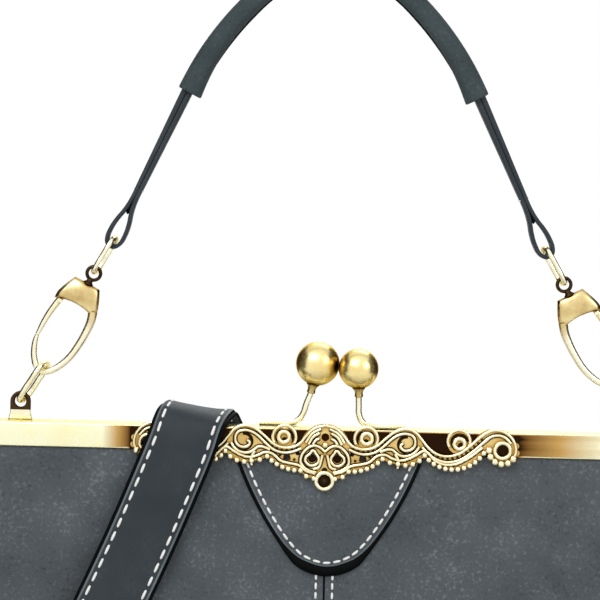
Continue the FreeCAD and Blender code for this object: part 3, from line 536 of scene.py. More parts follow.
def smooth_run(curve: Curve, places: Sequence[Triple], closed: bool = False) -> Spline:
    """Add a smooth spline through points to a curve.

    Args:
        curve: Curve that gets the spline.
        places: Points that it passes.
        closed: Whether it is a loop.

    Returns:
        The new spline.
    """
    spline = curve.splines.new("BEZIER")
    spline.bezier_points.add(len(places) - 1)
    spline.use_cyclic_u = closed
    for point, place in zip(spline.bezier_points, places):
        point.co = place
    for point in spline.bezier_points:
        point.handle_left_type = "AUTO"
        point.handle_right_type = "AUTO"
    return spline


def smooth_wires(runs: Iterable[Sequence[Triple]], radius: float, closed: bool = False,
                 swell: Sequence[float] = (), steps: int = 6, round_steps: int = 2) -> Mesh:
    """Make round wires through points.

    Args:
        runs: Points in millimetres of each wire.
        radius: Wire radius in millimetres.
        closed: Whether each wire is a loop.
        swell: Factor of the radius at each point, 1 where not given.
        steps: Sections between two points.
        round_steps: Roundness of the section.

    Returns:
        One mesh of all the wires, in millimetres.
    """
    curve = bpy.data.curves.new("wire", "CURVE")
    curve.dimensions = "3D"
    curve.bevel_depth = radius
    curve.bevel_resolution = round_steps
    curve.resolution_u = steps
    curve.use_fill_caps = True
    for run in runs:
        spline = smooth_run(curve, run, closed)
        for point, factor in zip(spline.bezier_points, swell):
            point.radius = factor
    return mesh_of(curve)


def mesh_of(curve: Curve) -> Mesh:
    """Turn a curve into a mesh and drop the curve.

    Args:
        curve: Curve to turn.

    Returns:
        Its mesh.
    """
    holder = bpy.data.objects.new("curve", curve)
    mesh = bpy.data.meshes.new_from_object(holder)
    bpy.data.objects.remove(holder)
    bpy.data.curves.remove(curve)
    return mesh


def join_mesh(bm: BMesh, mesh: Mesh, place: Matrix | None = None) -> None:
    """Add a mesh to a bmesh and drop the mesh.

    Args:
        bm: Bmesh that grows.
        mesh: Mesh to add.
        place: Transform of the added mesh.
    """
    if place is not None:
        mesh.transform(place)
    bm.from_mesh(mesh)
    bpy.data.meshes.remove(mesh)


def turned(bm: BMesh, profile: Sequence[Pair], origin: Vector, axis: Vector,
           steps: int = 40) -> None:
    """Spin a profile about an axis into a bmesh.

    Args:
        bm: Bmesh that grows.
        profile: (radius, along) points in millimetres.
        origin: Point on the axis where along is 0.
        axis: Direction of the axis.
        steps: Sections of the full turn.
    """
    along = axis.normalized()
    side = along.orthogonal().normalized()
    verts = [bm.verts.new(origin + side * max(radius, 1e-4) + along * height) for radius, height in profile]
    edges = [bm.edges.new(pair) for pair in zip(verts, verts[1:])]
    bmesh.ops.spin(bm, geom=verts + edges, cent=origin, axis=along, angle=math.tau, steps=steps,
                   use_merge=True)
    bmesh.ops.remove_doubles(bm, verts=bm.verts[:], dist=1e-3)
    bmesh.ops.recalc_face_normals(bm, faces=bm.faces[:])


def mirrored(bm: BMesh, side: Side) -> BMesh:
    """Mirror a left-hand bmesh for the right side, or leave it.

    Args:
        bm: Bmesh of the left-hand piece.
        side: Side that it is for.

    Returns:
        The same bmesh.
    """
    if side is Side.RIGHT:
        bmesh.ops.scale(bm, vec=(-1, 1, 1), verts=bm.verts[:])
        bmesh.ops.reverse_faces(bm, faces=bm.faces[:])
    return bm


def turn_out(bm: BMesh, pick: Callable[[BMFace], float], out: Vector) -> None:
    """Turn a sheet's faces outwards.

    Args:
        bm: Bmesh of the sheet.
        pick: Value that is least for the face that is tested.
        out: Outward direction at that face.
    """
    bmesh.ops.recalc_face_normals(bm, faces=bm.faces[:])
    if min(bm.faces, key=pick).normal.dot(out) < 0:
        bmesh.ops.reverse_faces(bm, faces=bm.faces[:])


def pressed_flat(y: float, share: float) -> Matrix:
    """Return the transform that presses a shape to a share of its height on the plane at a depth."""
    return Matrix.Translation((0, y, 0)) @ Matrix.Diagonal((1, share, 1, 1)) @ Matrix.Translation((0, -y, 0))


def rounded_copy(node: str, width: float,
                 choose: Callable[[Vector], bool] = lambda middle: True) -> BMesh:
    """Copy a CAD node and round its sharp edges.

    Args:
        node: CAD node to copy.
        width: Width of the rounding in millimetres.
        choose: Says from an edge's middle point in millimetres whether it is rounded.

    Returns:
        Bmesh of the copy in millimetres.
    """
    bm = bmesh.new()
    bm.from_mesh(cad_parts[node].data)
    bmesh.ops.scale(bm, vec=(1000, 1000, 1000), verts=bm.verts[:])
    bmesh.ops.remove_doubles(bm, verts=bm.verts[:], dist=1e-4)
    bmesh.ops.dissolve_limit(bm, angle_limit=math.radians(1), verts=bm.verts[:], edges=bm.edges[:])
    sharp = [edge for edge in bm.edges
             if len(edge.link_faces) == 2 and edge.calc_face_angle() > math.radians(35)
             and choose((edge.verts[0].co + edge.verts[1].co) / 2)]
    bmesh.ops.bevel(bm, geom=sharp, offset=width, offset_type="OFFSET", segments=3, profile=0.5,
                    affect="EDGES", material=-1)
    return bm


def stitches(places: Iterable[Section], dash: float, thread: float) -> BMesh:
    """Make sewn stitches, each a slim bead that sinks into the leather at its ends.

    Args:
        places: Middle, running direction and outward direction of each stitch.
        dash: Visible length of a stitch in millimetres.
        thread: Thread width in millimetres.

    Returns:
        Bmesh of all the stitches.
    """
    seed = bmesh.new()
    lying = Matrix.Rotation(math.pi / 2, 4, "Y")
    bmesh.ops.create_uvsphere(seed, u_segments=6, v_segments=6, radius=1.0, matrix=lying)
    for vert in seed.verts:
        vert.co.x = math.copysign(math.sqrt(abs(vert.co.x)), vert.co.x)
    bead = baked(seed, "bead")
    # The pull of the seam makes a stitch flatter than it is wide
    size = Matrix.Diagonal((dash / 2, thread / 2, thread * 0.42, 1))
    bm = bmesh.new()
    for middle, along, out in places:
        along = along.normalized()
        across = out.cross(along).normalized()
        turn = Matrix((along, across, along.cross(across))).transposed().to_4x4()
        join_mesh(bm, bead.copy(), Matrix.Translation(middle) @ turn @ size)
    bpy.data.meshes.remove(bead)
    return bm


def arc_through(first: Pair, middle: Pair, last: Pair, steps: int) -> list[Pair]:
    """Walk the arc through three points.

    Args:
        first: Start of the arc.
        middle: Point that the arc passes.
        last: End of the arc.
        steps: Number of equal steps.

    Returns:
        Points of the arc with both ends.
    """
    ring = [complex(*point) for point in (first, middle, last)]
    a, b, c = ring
    share = (c - a) / (b - a)
    center = a + (b - a) * (abs(share) ** 2 - share) / (share.conjugate() - share)
    start = math.atan2((a - center).imag, (a - center).real)
    way, turn = [(math.atan2((p - center).imag, (p - center).real) - start) % math.tau for p in (b, c)]
    turn = turn - math.tau if way > turn else turn
    radius = abs(a - center)
    return [(center.real + radius * math.cos(start + turn * i / steps),
             center.imag + radius * math.sin(start + turn * i / steps)) for i in range(steps + 1)]


def along_line(line: Sequence[Vector], pitch: float, start: float = 0.0) -> list[tuple[Vector, Vector]]:
    """Walk a polyline at an even pitch.

    Args:
        line: Points of the line.
        pitch: Step in millimetres.
        start: Distance of the first place from the start.

    Returns:
        Point and direction at each step.
    """
    places = []
    due = start
    gone = 0.0
    for here, there in zip(line, line[1:]):
        step = (there - here).length
        while step > 0 and due <= gone + step:
            places.append((here.lerp(there, (due - gone) / step), (there - here).normalized()))
            due += pitch
        gone += step
    return places


def bridge_rings(bm: BMesh, rings: Sequence[list[BMVert]]) -> None:
    """Bridge each closed ring of vertices to the next one.

    Args:
        bm: Bmesh that holds the rings.
        rings: Vertices of each ring in order.
    """
    for low, high in zip(rings, rings[1:]):
        edges = [edge for ring in (low, high) for edge in
                 {e for vert in ring for e in vert.link_edges if e.other_vert(vert) in set(ring)}]
        bmesh.ops.bridge_loops(bm, edges=edges)


@dataclass
class BrassFrame:
    """The two channel frames and their hinge rivets."""

    rounding: float = 0.55
    rounded_above: float = HINGE_Z + 10

    def build(self) -> None:
        """Round the channels' long edges and dress the hinge."""
        for node, body in (("front_frame", Body.FRONT), ("back_frame", Body.BAG)):
            bm = rounded_copy(node, self.rounding, lambda middle: middle.z > self.rounded_above)
            piece(node + "_rounded", bm, body.value, [Finish.BAR], [node])
        for node in ("left_pivot_rivet", "right_pivot_rivet"):
            dress(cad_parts[node], Finish.WIRE)
        for node in ("front_paper_cord", "back_paper_cord"):
            dress(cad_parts[node], Finish.CORD)


@dataclass
class Ornament:
    """The openwork filigree on the front bar, drawn right of the middle and mirrored."""

    face_y: float = -6.6
    rail: float = 0.58
    painted_shade_spread: float = 0.36
    bead_radius: float = 1.1
    bead_pitch: float = 2.3
    dot: float = 0.5
    dot_pitch: float = 1.9
    petal_radius: float = 1.42
    petal_reach: float = 5.1
    disc_half: float = 0.12
    disc_depth: float = 1.15
    rosette: Pair = (66.4, -6.4)
    rosette_ring: float = 2.9
    drop: Pair = (0.0, -19.4)
    drop_ring: float = 3.1
    drop_hole: float = 2.7
    eye_middle: Pair = (4.7, -11.0)
    eye_hole: float = 1.75
    crown_bead: Pair = (0.0, -5.9)
    crown_radius: float = 1.15

    # Lines of the right half: distance from the middle, height above the bar's top
    top_rail: Line = (
        (0, 1.5), (4.2, 0.3), (7.3, -2.7), (9.6, -5.6), (12.5, -6.9), (15.6, -7.1), (19, -6.0), (23, -2.6),
        (26.9, 0.2), (30.4, 0.9), (33.6, -0.2), (36.2, -3.1), (39, -6.3), (42.5, -8.5), (46, -9.0),
        (50, -8.0), (54, -5.1), (57.6, -1.8), (61, 0.6), (64.1, 1.2), (67.6, 0.2), (70.2, -2.2),
        (71.3, -4.6), (71.4, -7.0), (70.8, -8.6))
    second_rail: Line = (
        (8.9, -7.3), (12.4, -8.7), (15.6, -9.0), (19.3, -7.9), (22.6, -5.2), (25.2, -2.8), (27.8, -1.3),
        (30.8, -0.95), (33.0, -2.0), (33.7, -4.2), (32.9, -6.2), (31.0, -7.2), (29.1, -6.9), (28.2, -5.5),
        (29.2, -4.6))
    third_rail: Line = (
        (36.3, -5.8), (39.4, -8.8), (43, -10.7), (46.4, -11.2), (50.6, -10.2), (54.6, -7.6), (58.2, -4.4),
        (61.0, -2.0))
    lower_rail: Line = (
        (3.6, -16.7), (7.2, -15.6), (9.7, -13.7), (13.4, -12.9), (16.6, -12.0), (19.5, -9.6), (22.4, -9.0),
        (25, -10.2), (28.2, -11.0), (31.8, -10.1), (34.8, -8.4), (37.2, -7.2), (41.6, -11.0), (47, -12.2),
        (53, -9.9), (58.8, -5.4))
    brow: Line = (
        (0, -8.4), (2.2, -6.6), (4.6, -6.2), (7.2, -7.8), (9.0, -10.8), (8.6, -13.4), (6.2, -15.4),
        (3.2, -16.2))
    eye: Line = (
        (4.4, -8.0), (5.6, -9.2), (7.3, -11.0), (6.6, -12.9), (4.6, -13.7), (2.7, -12.7), (2.3, -10.9),
        (3.4, -9.2))
    cheek: Line = ((0.9, -9.6), (1.5, -12.2), (2.2, -14.2), (4.2, -15.0))
    comma: Line = (
        (20.6, -8.0), (22.8, -7.1), (25.0, -7.0), (26.6, -8.2), (28.4, -9.2), (31.0, -9.2), (33.6, -7.9),
        (35.2, -5.6))
    spur: Line = ((26.2, -8.6), (27.6, -11.2), (27.3, -14.0))
    inner_band: Line = ((58.4, -4.2), (61.4, -1.6), (64.2, -0.7), (67.2, -1.4), (69.4, -3.6))
    fans: tuple[Line, ...] = (
        ((1.6, 0.2), (4.9, -1.6), (7.2, -5.0)), ((2.2, -1.4), (4.6, -2.9), (6.2, -5.6)),
        ((2.2, -3.4), (3.6, -4.2), (4.6, -5.6)))
    # Start, middle and end of each arc of beads
    scallops: tuple[Line, ...] = (
        ((60.4, -5.4), (48.0, -14.0), (37.3, -8.9)), ((37.3, -8.9), (33.2, -12.2), (27.4, -12.4)),
        ((27.4, -12.4), (24.6, -12.0), (21.6, -10.6)), ((21.6, -10.6), (15.6, -14.6), (9.0, -15.7)),
        ((9.0, -15.7), (6.8, -17.8), (3.9, -18.6)))
    dotted: tuple[Line, ...] = (
        ((10.6, -7.2), (15.6, -8.1), (19.6, -6.9), (23.2, -3.9), (26.4, -1.2)),
        ((37.6, -6.0), (42.6, -9.6), (46.2, -10.1), (51, -8.9), (55, -5.9), (59, -2.2)),
        ((11.4, -11.6), (15.2, -11.0), (18.8, -8.8)))
    # Middle, outer radius, ring radius and drop of the ring of each scroll
    scrolls: tuple[tuple[Pair, float, float, float], ...] = (
        ((15.3, -3.1), 4.35, 2.0, 0.0), ((50.0, -3.2), 4.2, 1.95, -1.0))

    def place(self, point: Pair, lift: float = 0.0) -> Vector:
        """Return the point of the ornament's front face, lifted out of it."""
        return Vector((point[0], self.face_y - lift, BAR_TOP + point[1]))

    def run(self, points: Sequence[Pair]) -> list[Vector]:
        """Return a line of the ornament on its front face."""
        return [self.place(point) for point in points]

    def circle(self, center: Pair, radius: float, first: float, last: float, steps: int = 12) -> list[Pair]:
        """Return points of an arc between two angles in degrees."""
        turns = [math.radians(first + (last - first) * i / steps) for i in range(steps + 1)]
        return [(center[0] + radius * math.cos(t), center[1] + radius * math.sin(t)) for t in turns]

    def hoop(self, bm: BMesh, center: Pair, radius: float, thick: float, steps: int = 3) -> None:
        """Add a closed ring of wire, thick times as thick as a rail."""
        ring = self.run(self.circle(center, radius, 0, 330, 11))
        join_mesh(bm, smooth_wires([ring], self.rail * thick, closed=True, steps=steps))

    def rails(self, bm: BMesh, patina: BMesh) -> None:
        """Add the raised rails, rings and scrolls of the right half, and a dark band of painted shade beside
        the rails.

        Args:
            bm: Bmesh of the relief.
            patina: Bmesh of the painted shade and the dark dots.
        """
        lines = [self.top_rail, self.second_rail, self.third_rail, self.lower_rail, self.brow, self.cheek,
                 self.comma, self.spur, self.inner_band, *self.fans]
        runs = [self.run(line) for line in lines]
        eye = [self.run(self.eye)]
        join_mesh(bm, smooth_wires(runs, self.rail, steps=4))
        join_mesh(bm, smooth_wires(eye, self.rail, closed=True, steps=4))
        # The top rail stands free against the bar, so no painted shade lies beside it
        wide = self.rail + self.painted_shade_spread
        flat = pressed_flat(self.face_y, 0.25)
        join_mesh(patina, smooth_wires(runs[1:], wide, steps=4), flat)
        join_mesh(patina, smooth_wires(eye, wide, closed=True, steps=4), flat)
        for center, outer, inner, drop in self.scrolls:
            join_mesh(bm, smooth_wires([self.run(self.circle(center, outer, -30, 210))], self.rail, steps=3))
            self.hoop(bm, (center[0] + 0.2, center[1] + drop), inner, 1.45)
        self.hoop(bm, self.rosette, self.rosette_ring, 1.4)

    def bead(self, bm: BMesh, point: Pair, radius: float, depth: float = 0.8) -> None:
        """Add one bead sunk into the plate, flattened by depth."""
        spot = Matrix.Translation(self.place(point)) @ Matrix.Diagonal((1, depth, 1, 1))
        bmesh.ops.create_uvsphere(bm, u_segments=10, v_segments=7, radius=radius, matrix=spot)

    def painted_shade_disc(self, bm: BMesh, point: Pair, radius: float) -> None:
        """Close a hole at the back of the plate with a thin dark disc of painted shade."""
        half = self.disc_half
        disc = [(0, -half), (radius, -half), (radius, half), (0, half)]
        turned(bm, disc, self.place(point, -self.disc_depth), TO_BACK, 20)

    def beads(self, bm: BMesh, patina: BMesh) -> None:
        """Add the beaded lower edge, the dotted bands and the rosette's petals of the right half.

        Args:
            bm: Bmesh of the relief.
            patina: Bmesh of the painted shade and the dark dots.
        """
        for first, middle, last in self.scallops:
            arc = arc_through(first, middle, last, 40)
            length = sum(math.dist(a, b) for a, b in zip(arc, arc[1:]))
            for spot in arc_through(first, middle, last, int(length / self.bead_pitch))[1:]:
                self.bead(bm, spot, self.bead_radius)
        for line in self.dotted:
            for point, _ in along_line(self.run(line), self.dot_pitch):
                self.bead(patina, (point.x, point.z - BAR_TOP), self.dot, 0.95)
        # Six petals stand round the rosette's outer and lower side
        for index in range(2, 8):
            around = math.radians(20 - 200 * index / 7)
            center = (self.rosette[0] + self.petal_reach * math.cos(around),
                      self.rosette[1] + self.petal_reach * math.sin(around))
            self.bead(bm, center, self.petal_radius)
        self.painted_shade_disc(patina, self.eye_middle, self.eye_hole)

    def build(self) -> None:
        """Build the relief on both sides of the middle and dress the openwork plate."""
        bm = bmesh.new()
        patina = bmesh.new()
        self.rails(bm, patina)
        self.beads(bm, patina)
        for half in (bm, patina):
            everything = half.verts[:] + half.edges[:] + half.faces[:]
            bmesh.ops.mirror(half, geom=everything, axis="X", merge_dist=0.0)
        self.hoop(bm, self.drop, self.drop_ring, 1.5, 4)
        self.bead(bm, self.crown_bead, self.crown_radius)
        self.painted_shade_disc(patina, self.drop, self.drop_hole)
        # The dark piece holds painted shade beside the rails and in the holes, and the ornament's dark dots
        for name, shape, finish in (("patina", patina, Finish.EYE), ("relief", bm, Finish.RAIL)):
            bmesh.ops.recalc_face_normals(shape, faces=shape.faces[:])
            piece(f"filigree_{name}", shape, Body.FRONT.value, [finish], smooth=60)
        dress(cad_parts["filigree_plate"], Finish.FILIGREE)


@dataclass
class KissLock:
    """The two lock balls on their bent wire stems."""

    left_center: Triple = (-3.4, 2.2, 208.8)
    left_radius: float = 8.25
    left_lean: float = 12.0
    right_center: Triple = (11.9, -2.2, 207.7)
    right_radius: float = 7.5
    right_lean: float = -2.0
    stem: float = 2.35
    stem_lift: float = 0.05
    collar: float = 3.2
    dark_from: float = 0.66
    dark_over: float = 0.28
    neck_from: float = 1.02
    neck_dark: float = 0.45

    # Radius and height above its foot of the flared neck
    neck: Line = (
        (1.3, 0.0), (1.55, 0.15), (1.6, 0.9), (1.45, 1.3), (1.6, 2.0), (1.9, 2.7), (2.5, 3.4), (2.3, 4.0))
    # Distance from the middle and height above its foot of each bent stem
    left_stem: Line = (
        (-24.9, 0.0), (-18, 0.0), (-13.4, 0.0), (-10.6, 0.9), (-8.7, 3.2), (-7.4, 7.2), (-5.8, 11.375))
    right_stem: Line = (
        (29.9, 0.0), (24, 0.0), (17.4, 0.0), (14.0, 1.3), (12.5, 4.3), (12.3, 7.5), (12.2, 10.975))

    def ball(self, name: str, center: Vector, radius: float, lean: float, body: Body) -> None:
        """Build one ball with its flared neck.

        Args:
            name: CAD node that it stands for.
            center: Middle of the ball.
            radius: Ball radius.
            lean: Lean of the neck from vertical in degrees.
            body: Body that it moves with.
        """
        up = leaning(lean)
        bm = bmesh.new()
        bmesh.ops.create_uvsphere(bm, u_segments=56, v_segments=32, radius=radius,
                                  matrix=Matrix.Translation(center))
        foot = -radius - self.collar
        turned(bm, [(wide, foot + rise) for wide, rise in self.neck], center, up, 28)
        # Painted reflection: the lower pole darkens as if it mirrored the dark leather below; the neck gets a
        # dark patina
        painted_shade_and_tone = bm.verts.layers.float.new("painted_shade_and_tone")
        for vert in bm.verts:
            low = -(vert.co - center).dot(up) / radius
            pole = clamp((low - self.dark_from) / self.dark_over)
            vert[painted_shade_and_tone] = pole if low < self.neck_from else self.neck_dark
        piece(name + "_turned", bm, body.value, [Finish.BALL], [name])

    def wire(self, name: str, line: Line, y: float, body: Body) -> None:
        """Build one bent stem.

        Args:
            name: CAD node that it stands for.
            line: Distance from the middle and height above its foot of each point.
            y: Depth of its plane.
            body: Body that it moves with.
        """
        foot = BAR_TOP + self.stem_lift + self.stem / 2
        path = [(x, y, foot + rise) for x, rise in line]
        mesh = smooth_wires([path], self.stem / 2, steps=10, round_steps=3)
        piece(name + "_wire", mesh, body.value, [Finish.WIRE], [name])

    def build(self) -> None:
        """Build both balls and stems."""
        self.ball("left_ball", Vector(self.left_center), self.left_radius, self.left_lean, Body.BAG)
        self.ball("right_ball", Vector(self.right_center), self.right_radius, self.right_lean, Body.FRONT)
        self.wire("left_ball_stem", self.left_stem, self.left_center[1], Body.BAG)
        self.wire("right_ball_stem", self.right_stem, self.right_center[1], Body.FRONT)


@dataclass
class ClipChain:
    """Ear, link, snap clip, swivel eye and ring of one side, in the left side's coordinates."""

    side: Side
    ear: Triple = (-115.2, HANDLE_Y, 191.9)
    ear_rounding: float = 0.35
    ear_dark: float = 3.1
    seat: Triple = (-107.73, HANDLE_Y, 203.62)
    lean: float = 27.4
    cap_low: float = 27.0
    cap_top: float = 37.4
    cap_half: float = 2.35
    bow_wire: float = 1.3
    gate_wire: float = 1.25
    worn_from: float = 28.5
    worn_over: float = 7.0
    neck_from: float = 35.7
    eye_reach: float = 6.2
    eye_radius: float = 2.55
    eye_wire: float = 0.68
    link_lean: float = 32.5
    link_twist: float = 10.0
    link_rise: float = 0.7
    link_size: Triple = (16.3, 5.7, 3.4)
    link_wire: float = 1.15
    ring_lean: float = 30.0
    ring_twist: float = 4.5
    ring_rise: float = 0.8
    ring_size: Triple = (14.5, 6.05, 3.0)
    ring_wire: float = 0.95

    # Share of the cap's height and half width there
    cap_widths: Line = ((0.0, 8.3), (0.2, 8.5), (0.42, 7.9), (0.7, 6.7), (0.9, 5.7), (1.0, 5.2))
    # Radius and height of the swivel eye's neck above the place where it leaves the cap
    neck: Line = (
        (1.1, -5.3), (1.1, 1.4), (1.9, 1.5), (2.0, 1.9), (1.6, 2.3), (1.2, 2.7), (1.2, 3.4), (0.9, 3.9))
    # Across, along and thickness of the bow from the cap round to its nose, and of the gate
    bow: tuple[Triple, ...] = (
        (6.6, 29.0, 1.35), (7.6, 25.5, 1.25), (8.0, 20.2, 1.12), (7.8, 15.0, 1.05), (7.2, 10.4, 1.0),
        (5.8, 6.1, 0.95), (3.7, 2.4, 0.92), (1.7, 0.6, 0.95), (0, 0, 0.98), (-2.2, 0.7, 0.95),
        (-4.4, 2.9, 0.9), (-6.2, 6.0, 0.85), (-7.3, 9.0, 0.75), (-7.72, 11.3, 0.55))
    gate: tuple[Triple, ...] = (
        (-6.4, 28.4, 0.95), (-7.0, 25.0, 1.0), (-7.6, 20.5, 0.95), (-7.8, 16.0, 0.85), (-7.75, 11.55, 0.6))

    def node(self, name: str) -> str:
        """Return the CAD node of this side."""
        return f"{self.side.name.lower()}_{name}"

    def at(self, across: float, along: float) -> Vector:
        """Return the left-hand point of the clip's plane.

        Args:
            across: Distance to the right of the clip's axis.
            along: Distance up the axis from the seat of the link.

        Returns:
            The point in millimetres.
        """
        angle = math.radians(self.lean)
        x = self.seat[0] + across * math.cos(angle) + along * math.sin(angle)
        z = self.seat[2] - across * math.sin(angle) + along * math.cos(angle)
        return Vector((x, self.seat[1], z))

    def clip_matrix(self) -> Matrix:
        """Return the transform from (across, out, along) to the left-hand clip."""
        across = self.at(1, 0) - self.at(0, 0)
        along = self.at(0, 1) - self.at(0, 0)
        turn = Matrix((across, TO_BACK, along)).transposed().to_4x4()
        return Matrix.Translation(self.at(0, 0)) @ turn

    def oval(self, low: Vector, lean: float, twist: float, length: float, half: float,
             corner: float) -> list[Vector]:
        """Return the points of a long wire loop that hangs across the bar, a little turned on its length.

        Args:
            low: Middle of its lower end.
            lean: Lean from vertical in degrees.
            twist: Turn on its own length in degrees.
            length: Distance between the middles of its ends.
            half: Half its width.
            corner: Radius of its corners.

        Returns:
            Points of the closed loop.
        """
        up = leaning(lean)
        angle, twist = math.radians(lean), math.radians(twist)
        out = Vector((math.cos(angle) * math.sin(twist), math.cos(twist), -math.sin(angle) * math.sin(twist)))
        flat, reach = half - corner, corner * (1 - math.sqrt(0.5))
        low_right = [(flat, 0.0), (half - reach, reach), (half, corner), (half, length / 2)]
        right = low_right + [(a, length - b) for a, b in reversed(low_right[:-1])]
        shape = right + [(-a, length - b) for a, b in right]
        return [low + up * b + out * a for a, b in shape]

    def cap(self, bm: BMesh) -> None:
        """Add the domed cap, pillowed front and back, in the clip's own axes.

        Args:
            bm: Empty bmesh that gets the cap.
        """
        made = bmesh.ops.create_cube(bm, size=1.0)
        edges = list({edge for vert in made["verts"] for edge in vert.link_edges})
        bmesh.ops.subdivide_edges(bm, edges=edges, cuts=7, use_grid_fill=True)
        for vert in bm.verts:
            share = vert.co.z + 0.5
            half = next(a[1] + (b[1] - a[1]) * (share - a[0]) / (b[0] - a[0])
                        for a, b in zip(self.cap_widths, self.cap_widths[1:]) if share <= b[0] + 1e-6)
            across = vert.co.x * 2
            pillow = math.sqrt(max(0.0, 1 - 0.72 * across * across))
            ends = math.sqrt(max(0.05, 1 - (2 * share - 0.9) ** 2 * 0.55))
            arch = 1.8 * (1 - across * across) * (1 - share) ** 2
            out = vert.co.y * 2 * self.cap_half * pillow * ends
            along = self.cap_low + share * (self.cap_top - self.cap_low) + arch
            vert.co = Vector((across * half - 0.3, out, along))

    def tapered(self, bm: BMesh, points: Sequence[Triple], radius: float) -> None:
        """Add a tapering bar in the clip's plane.

        Args:
            bm: Bmesh that grows.
            points: Across, along and thickness factor of each point.
            radius: Radius where the factor is 1.
        """
        line = [self.at(across, along) for across, along, _ in points]
        swell = [factor for _, _, factor in points]
        join_mesh(bm, smooth_wires([line], radius, swell=swell, steps=6, round_steps=4))

    def fit(self, name: str, made: str, bm: BMesh, body: str, finish: Finish) -> None:
        """Finish one fitting of this side from its left-hand bmesh.

        Args:
            name: CAD node without its side.
            made: How it is made, for the piece's name.
            bm: Bmesh of the left-hand fitting.
            body: Body that it moves with.
            finish: Its finish.
        """
        node = self.node(name)
        piece(f"{node}_{made}", mirrored(bm, self.side), body, [finish], [node], None)

    def build_clip(self) -> None:
        """Build the clip body and its gate, and dress the gate's pin and spring."""
        bm = bmesh.new()
        self.cap(bm)
        bmesh.ops.transform(bm, matrix=self.clip_matrix(), verts=bm.verts[:])
        self.tapered(bm, self.bow, self.bow_wire)
        painted_shade_and_tone = bm.verts.layers.float.new("painted_shade_and_tone")
        axis = self.at(0, 1) - self.at(0, 0)
        for vert in bm.verts:
            along = (vert.co - self.at(0, 0)).dot(axis)
            vert[painted_shade_and_tone] = clamp((self.worn_from - along) / self.worn_over)
        self.fit("clip", "casting", bm, self.node("clip"), Finish.CLIP)
        bm = bmesh.new()
        self.tapered(bm, self.gate, self.gate_wire)
        self.fit("gate", "bar", bm, self.node("gate"), Finish.WIRE)
        for name, finish in (("gate_pin", Finish.WIRE), ("gate_spring", Finish.STEEL)):
            dress(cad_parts[self.node(name)], finish)

    def build_eye(self) -> None:
        """Build the swivel eye on its turned neck."""
        bm = bmesh.new()
        turned(bm, self.neck, self.at(0, self.neck_from), self.at(0, 1) - self.at(0, 0), 24)
        middle = self.neck_from + self.eye_reach
        turns = [math.tau * i / 10 for i in range(10)]
        loop = [self.at(self.eye_radius * math.cos(t), middle + self.eye_radius * math.sin(t)) for t in turns]
        join_mesh(bm, smooth_wires([loop], self.eye_wire, closed=True, steps=4, round_steps=3))
        self.fit("swivel_eye", "turned", bm, Body.HANDLE.value, Finish.EYE)

    def build_loops(self) -> None:
        """Build the link in the ear and the ring in the swivel eye."""
        low = Vector(self.ear) + leaning(self.link_lean) * self.link_rise
        link = self.oval(low, self.link_lean, self.link_twist, *self.link_size)
        low = self.at(0, self.neck_from + self.eye_reach) + leaning(self.ring_lean) * self.ring_rise
        ring = self.oval(low, self.ring_lean, self.ring_twist, *self.ring_size)
        for name, loop, wire, body in (("link", link, self.link_wire, Body.LINKS.value),
                                       ("handle_ring", ring, self.ring_wire, self.node("ring"))):
            bm = bmesh.new()
            join_mesh(bm, smooth_wires([loop], wire, closed=True, steps=6, round_steps=4))
            self.fit(name, "wire", bm, body, Finish.WIRE)

    def build(self) -> None:
        """Build every fitting of this side."""
        ear = self.node("ear")
        bm = rounded_copy(ear, self.ear_rounding)
        eye_low = self.ear[2] - self.ear_dark
        everything = bm.verts[:] + bm.edges[:] + bm.faces[:]
        bmesh.ops.bisect_plane(bm, geom=everything, plane_co=(0, 0, eye_low), plane_no=(0, 0, 1))
        for face in bm.faces:
            face.material_index = int(face.calc_center_median().z > eye_low)
        piece(ear + "_rounded", bm, Body.BAG.value, [Finish.WIRE, Finish.EYE], [ear])
        self.build_loops()
        self.build_clip()
        self.build_eye()


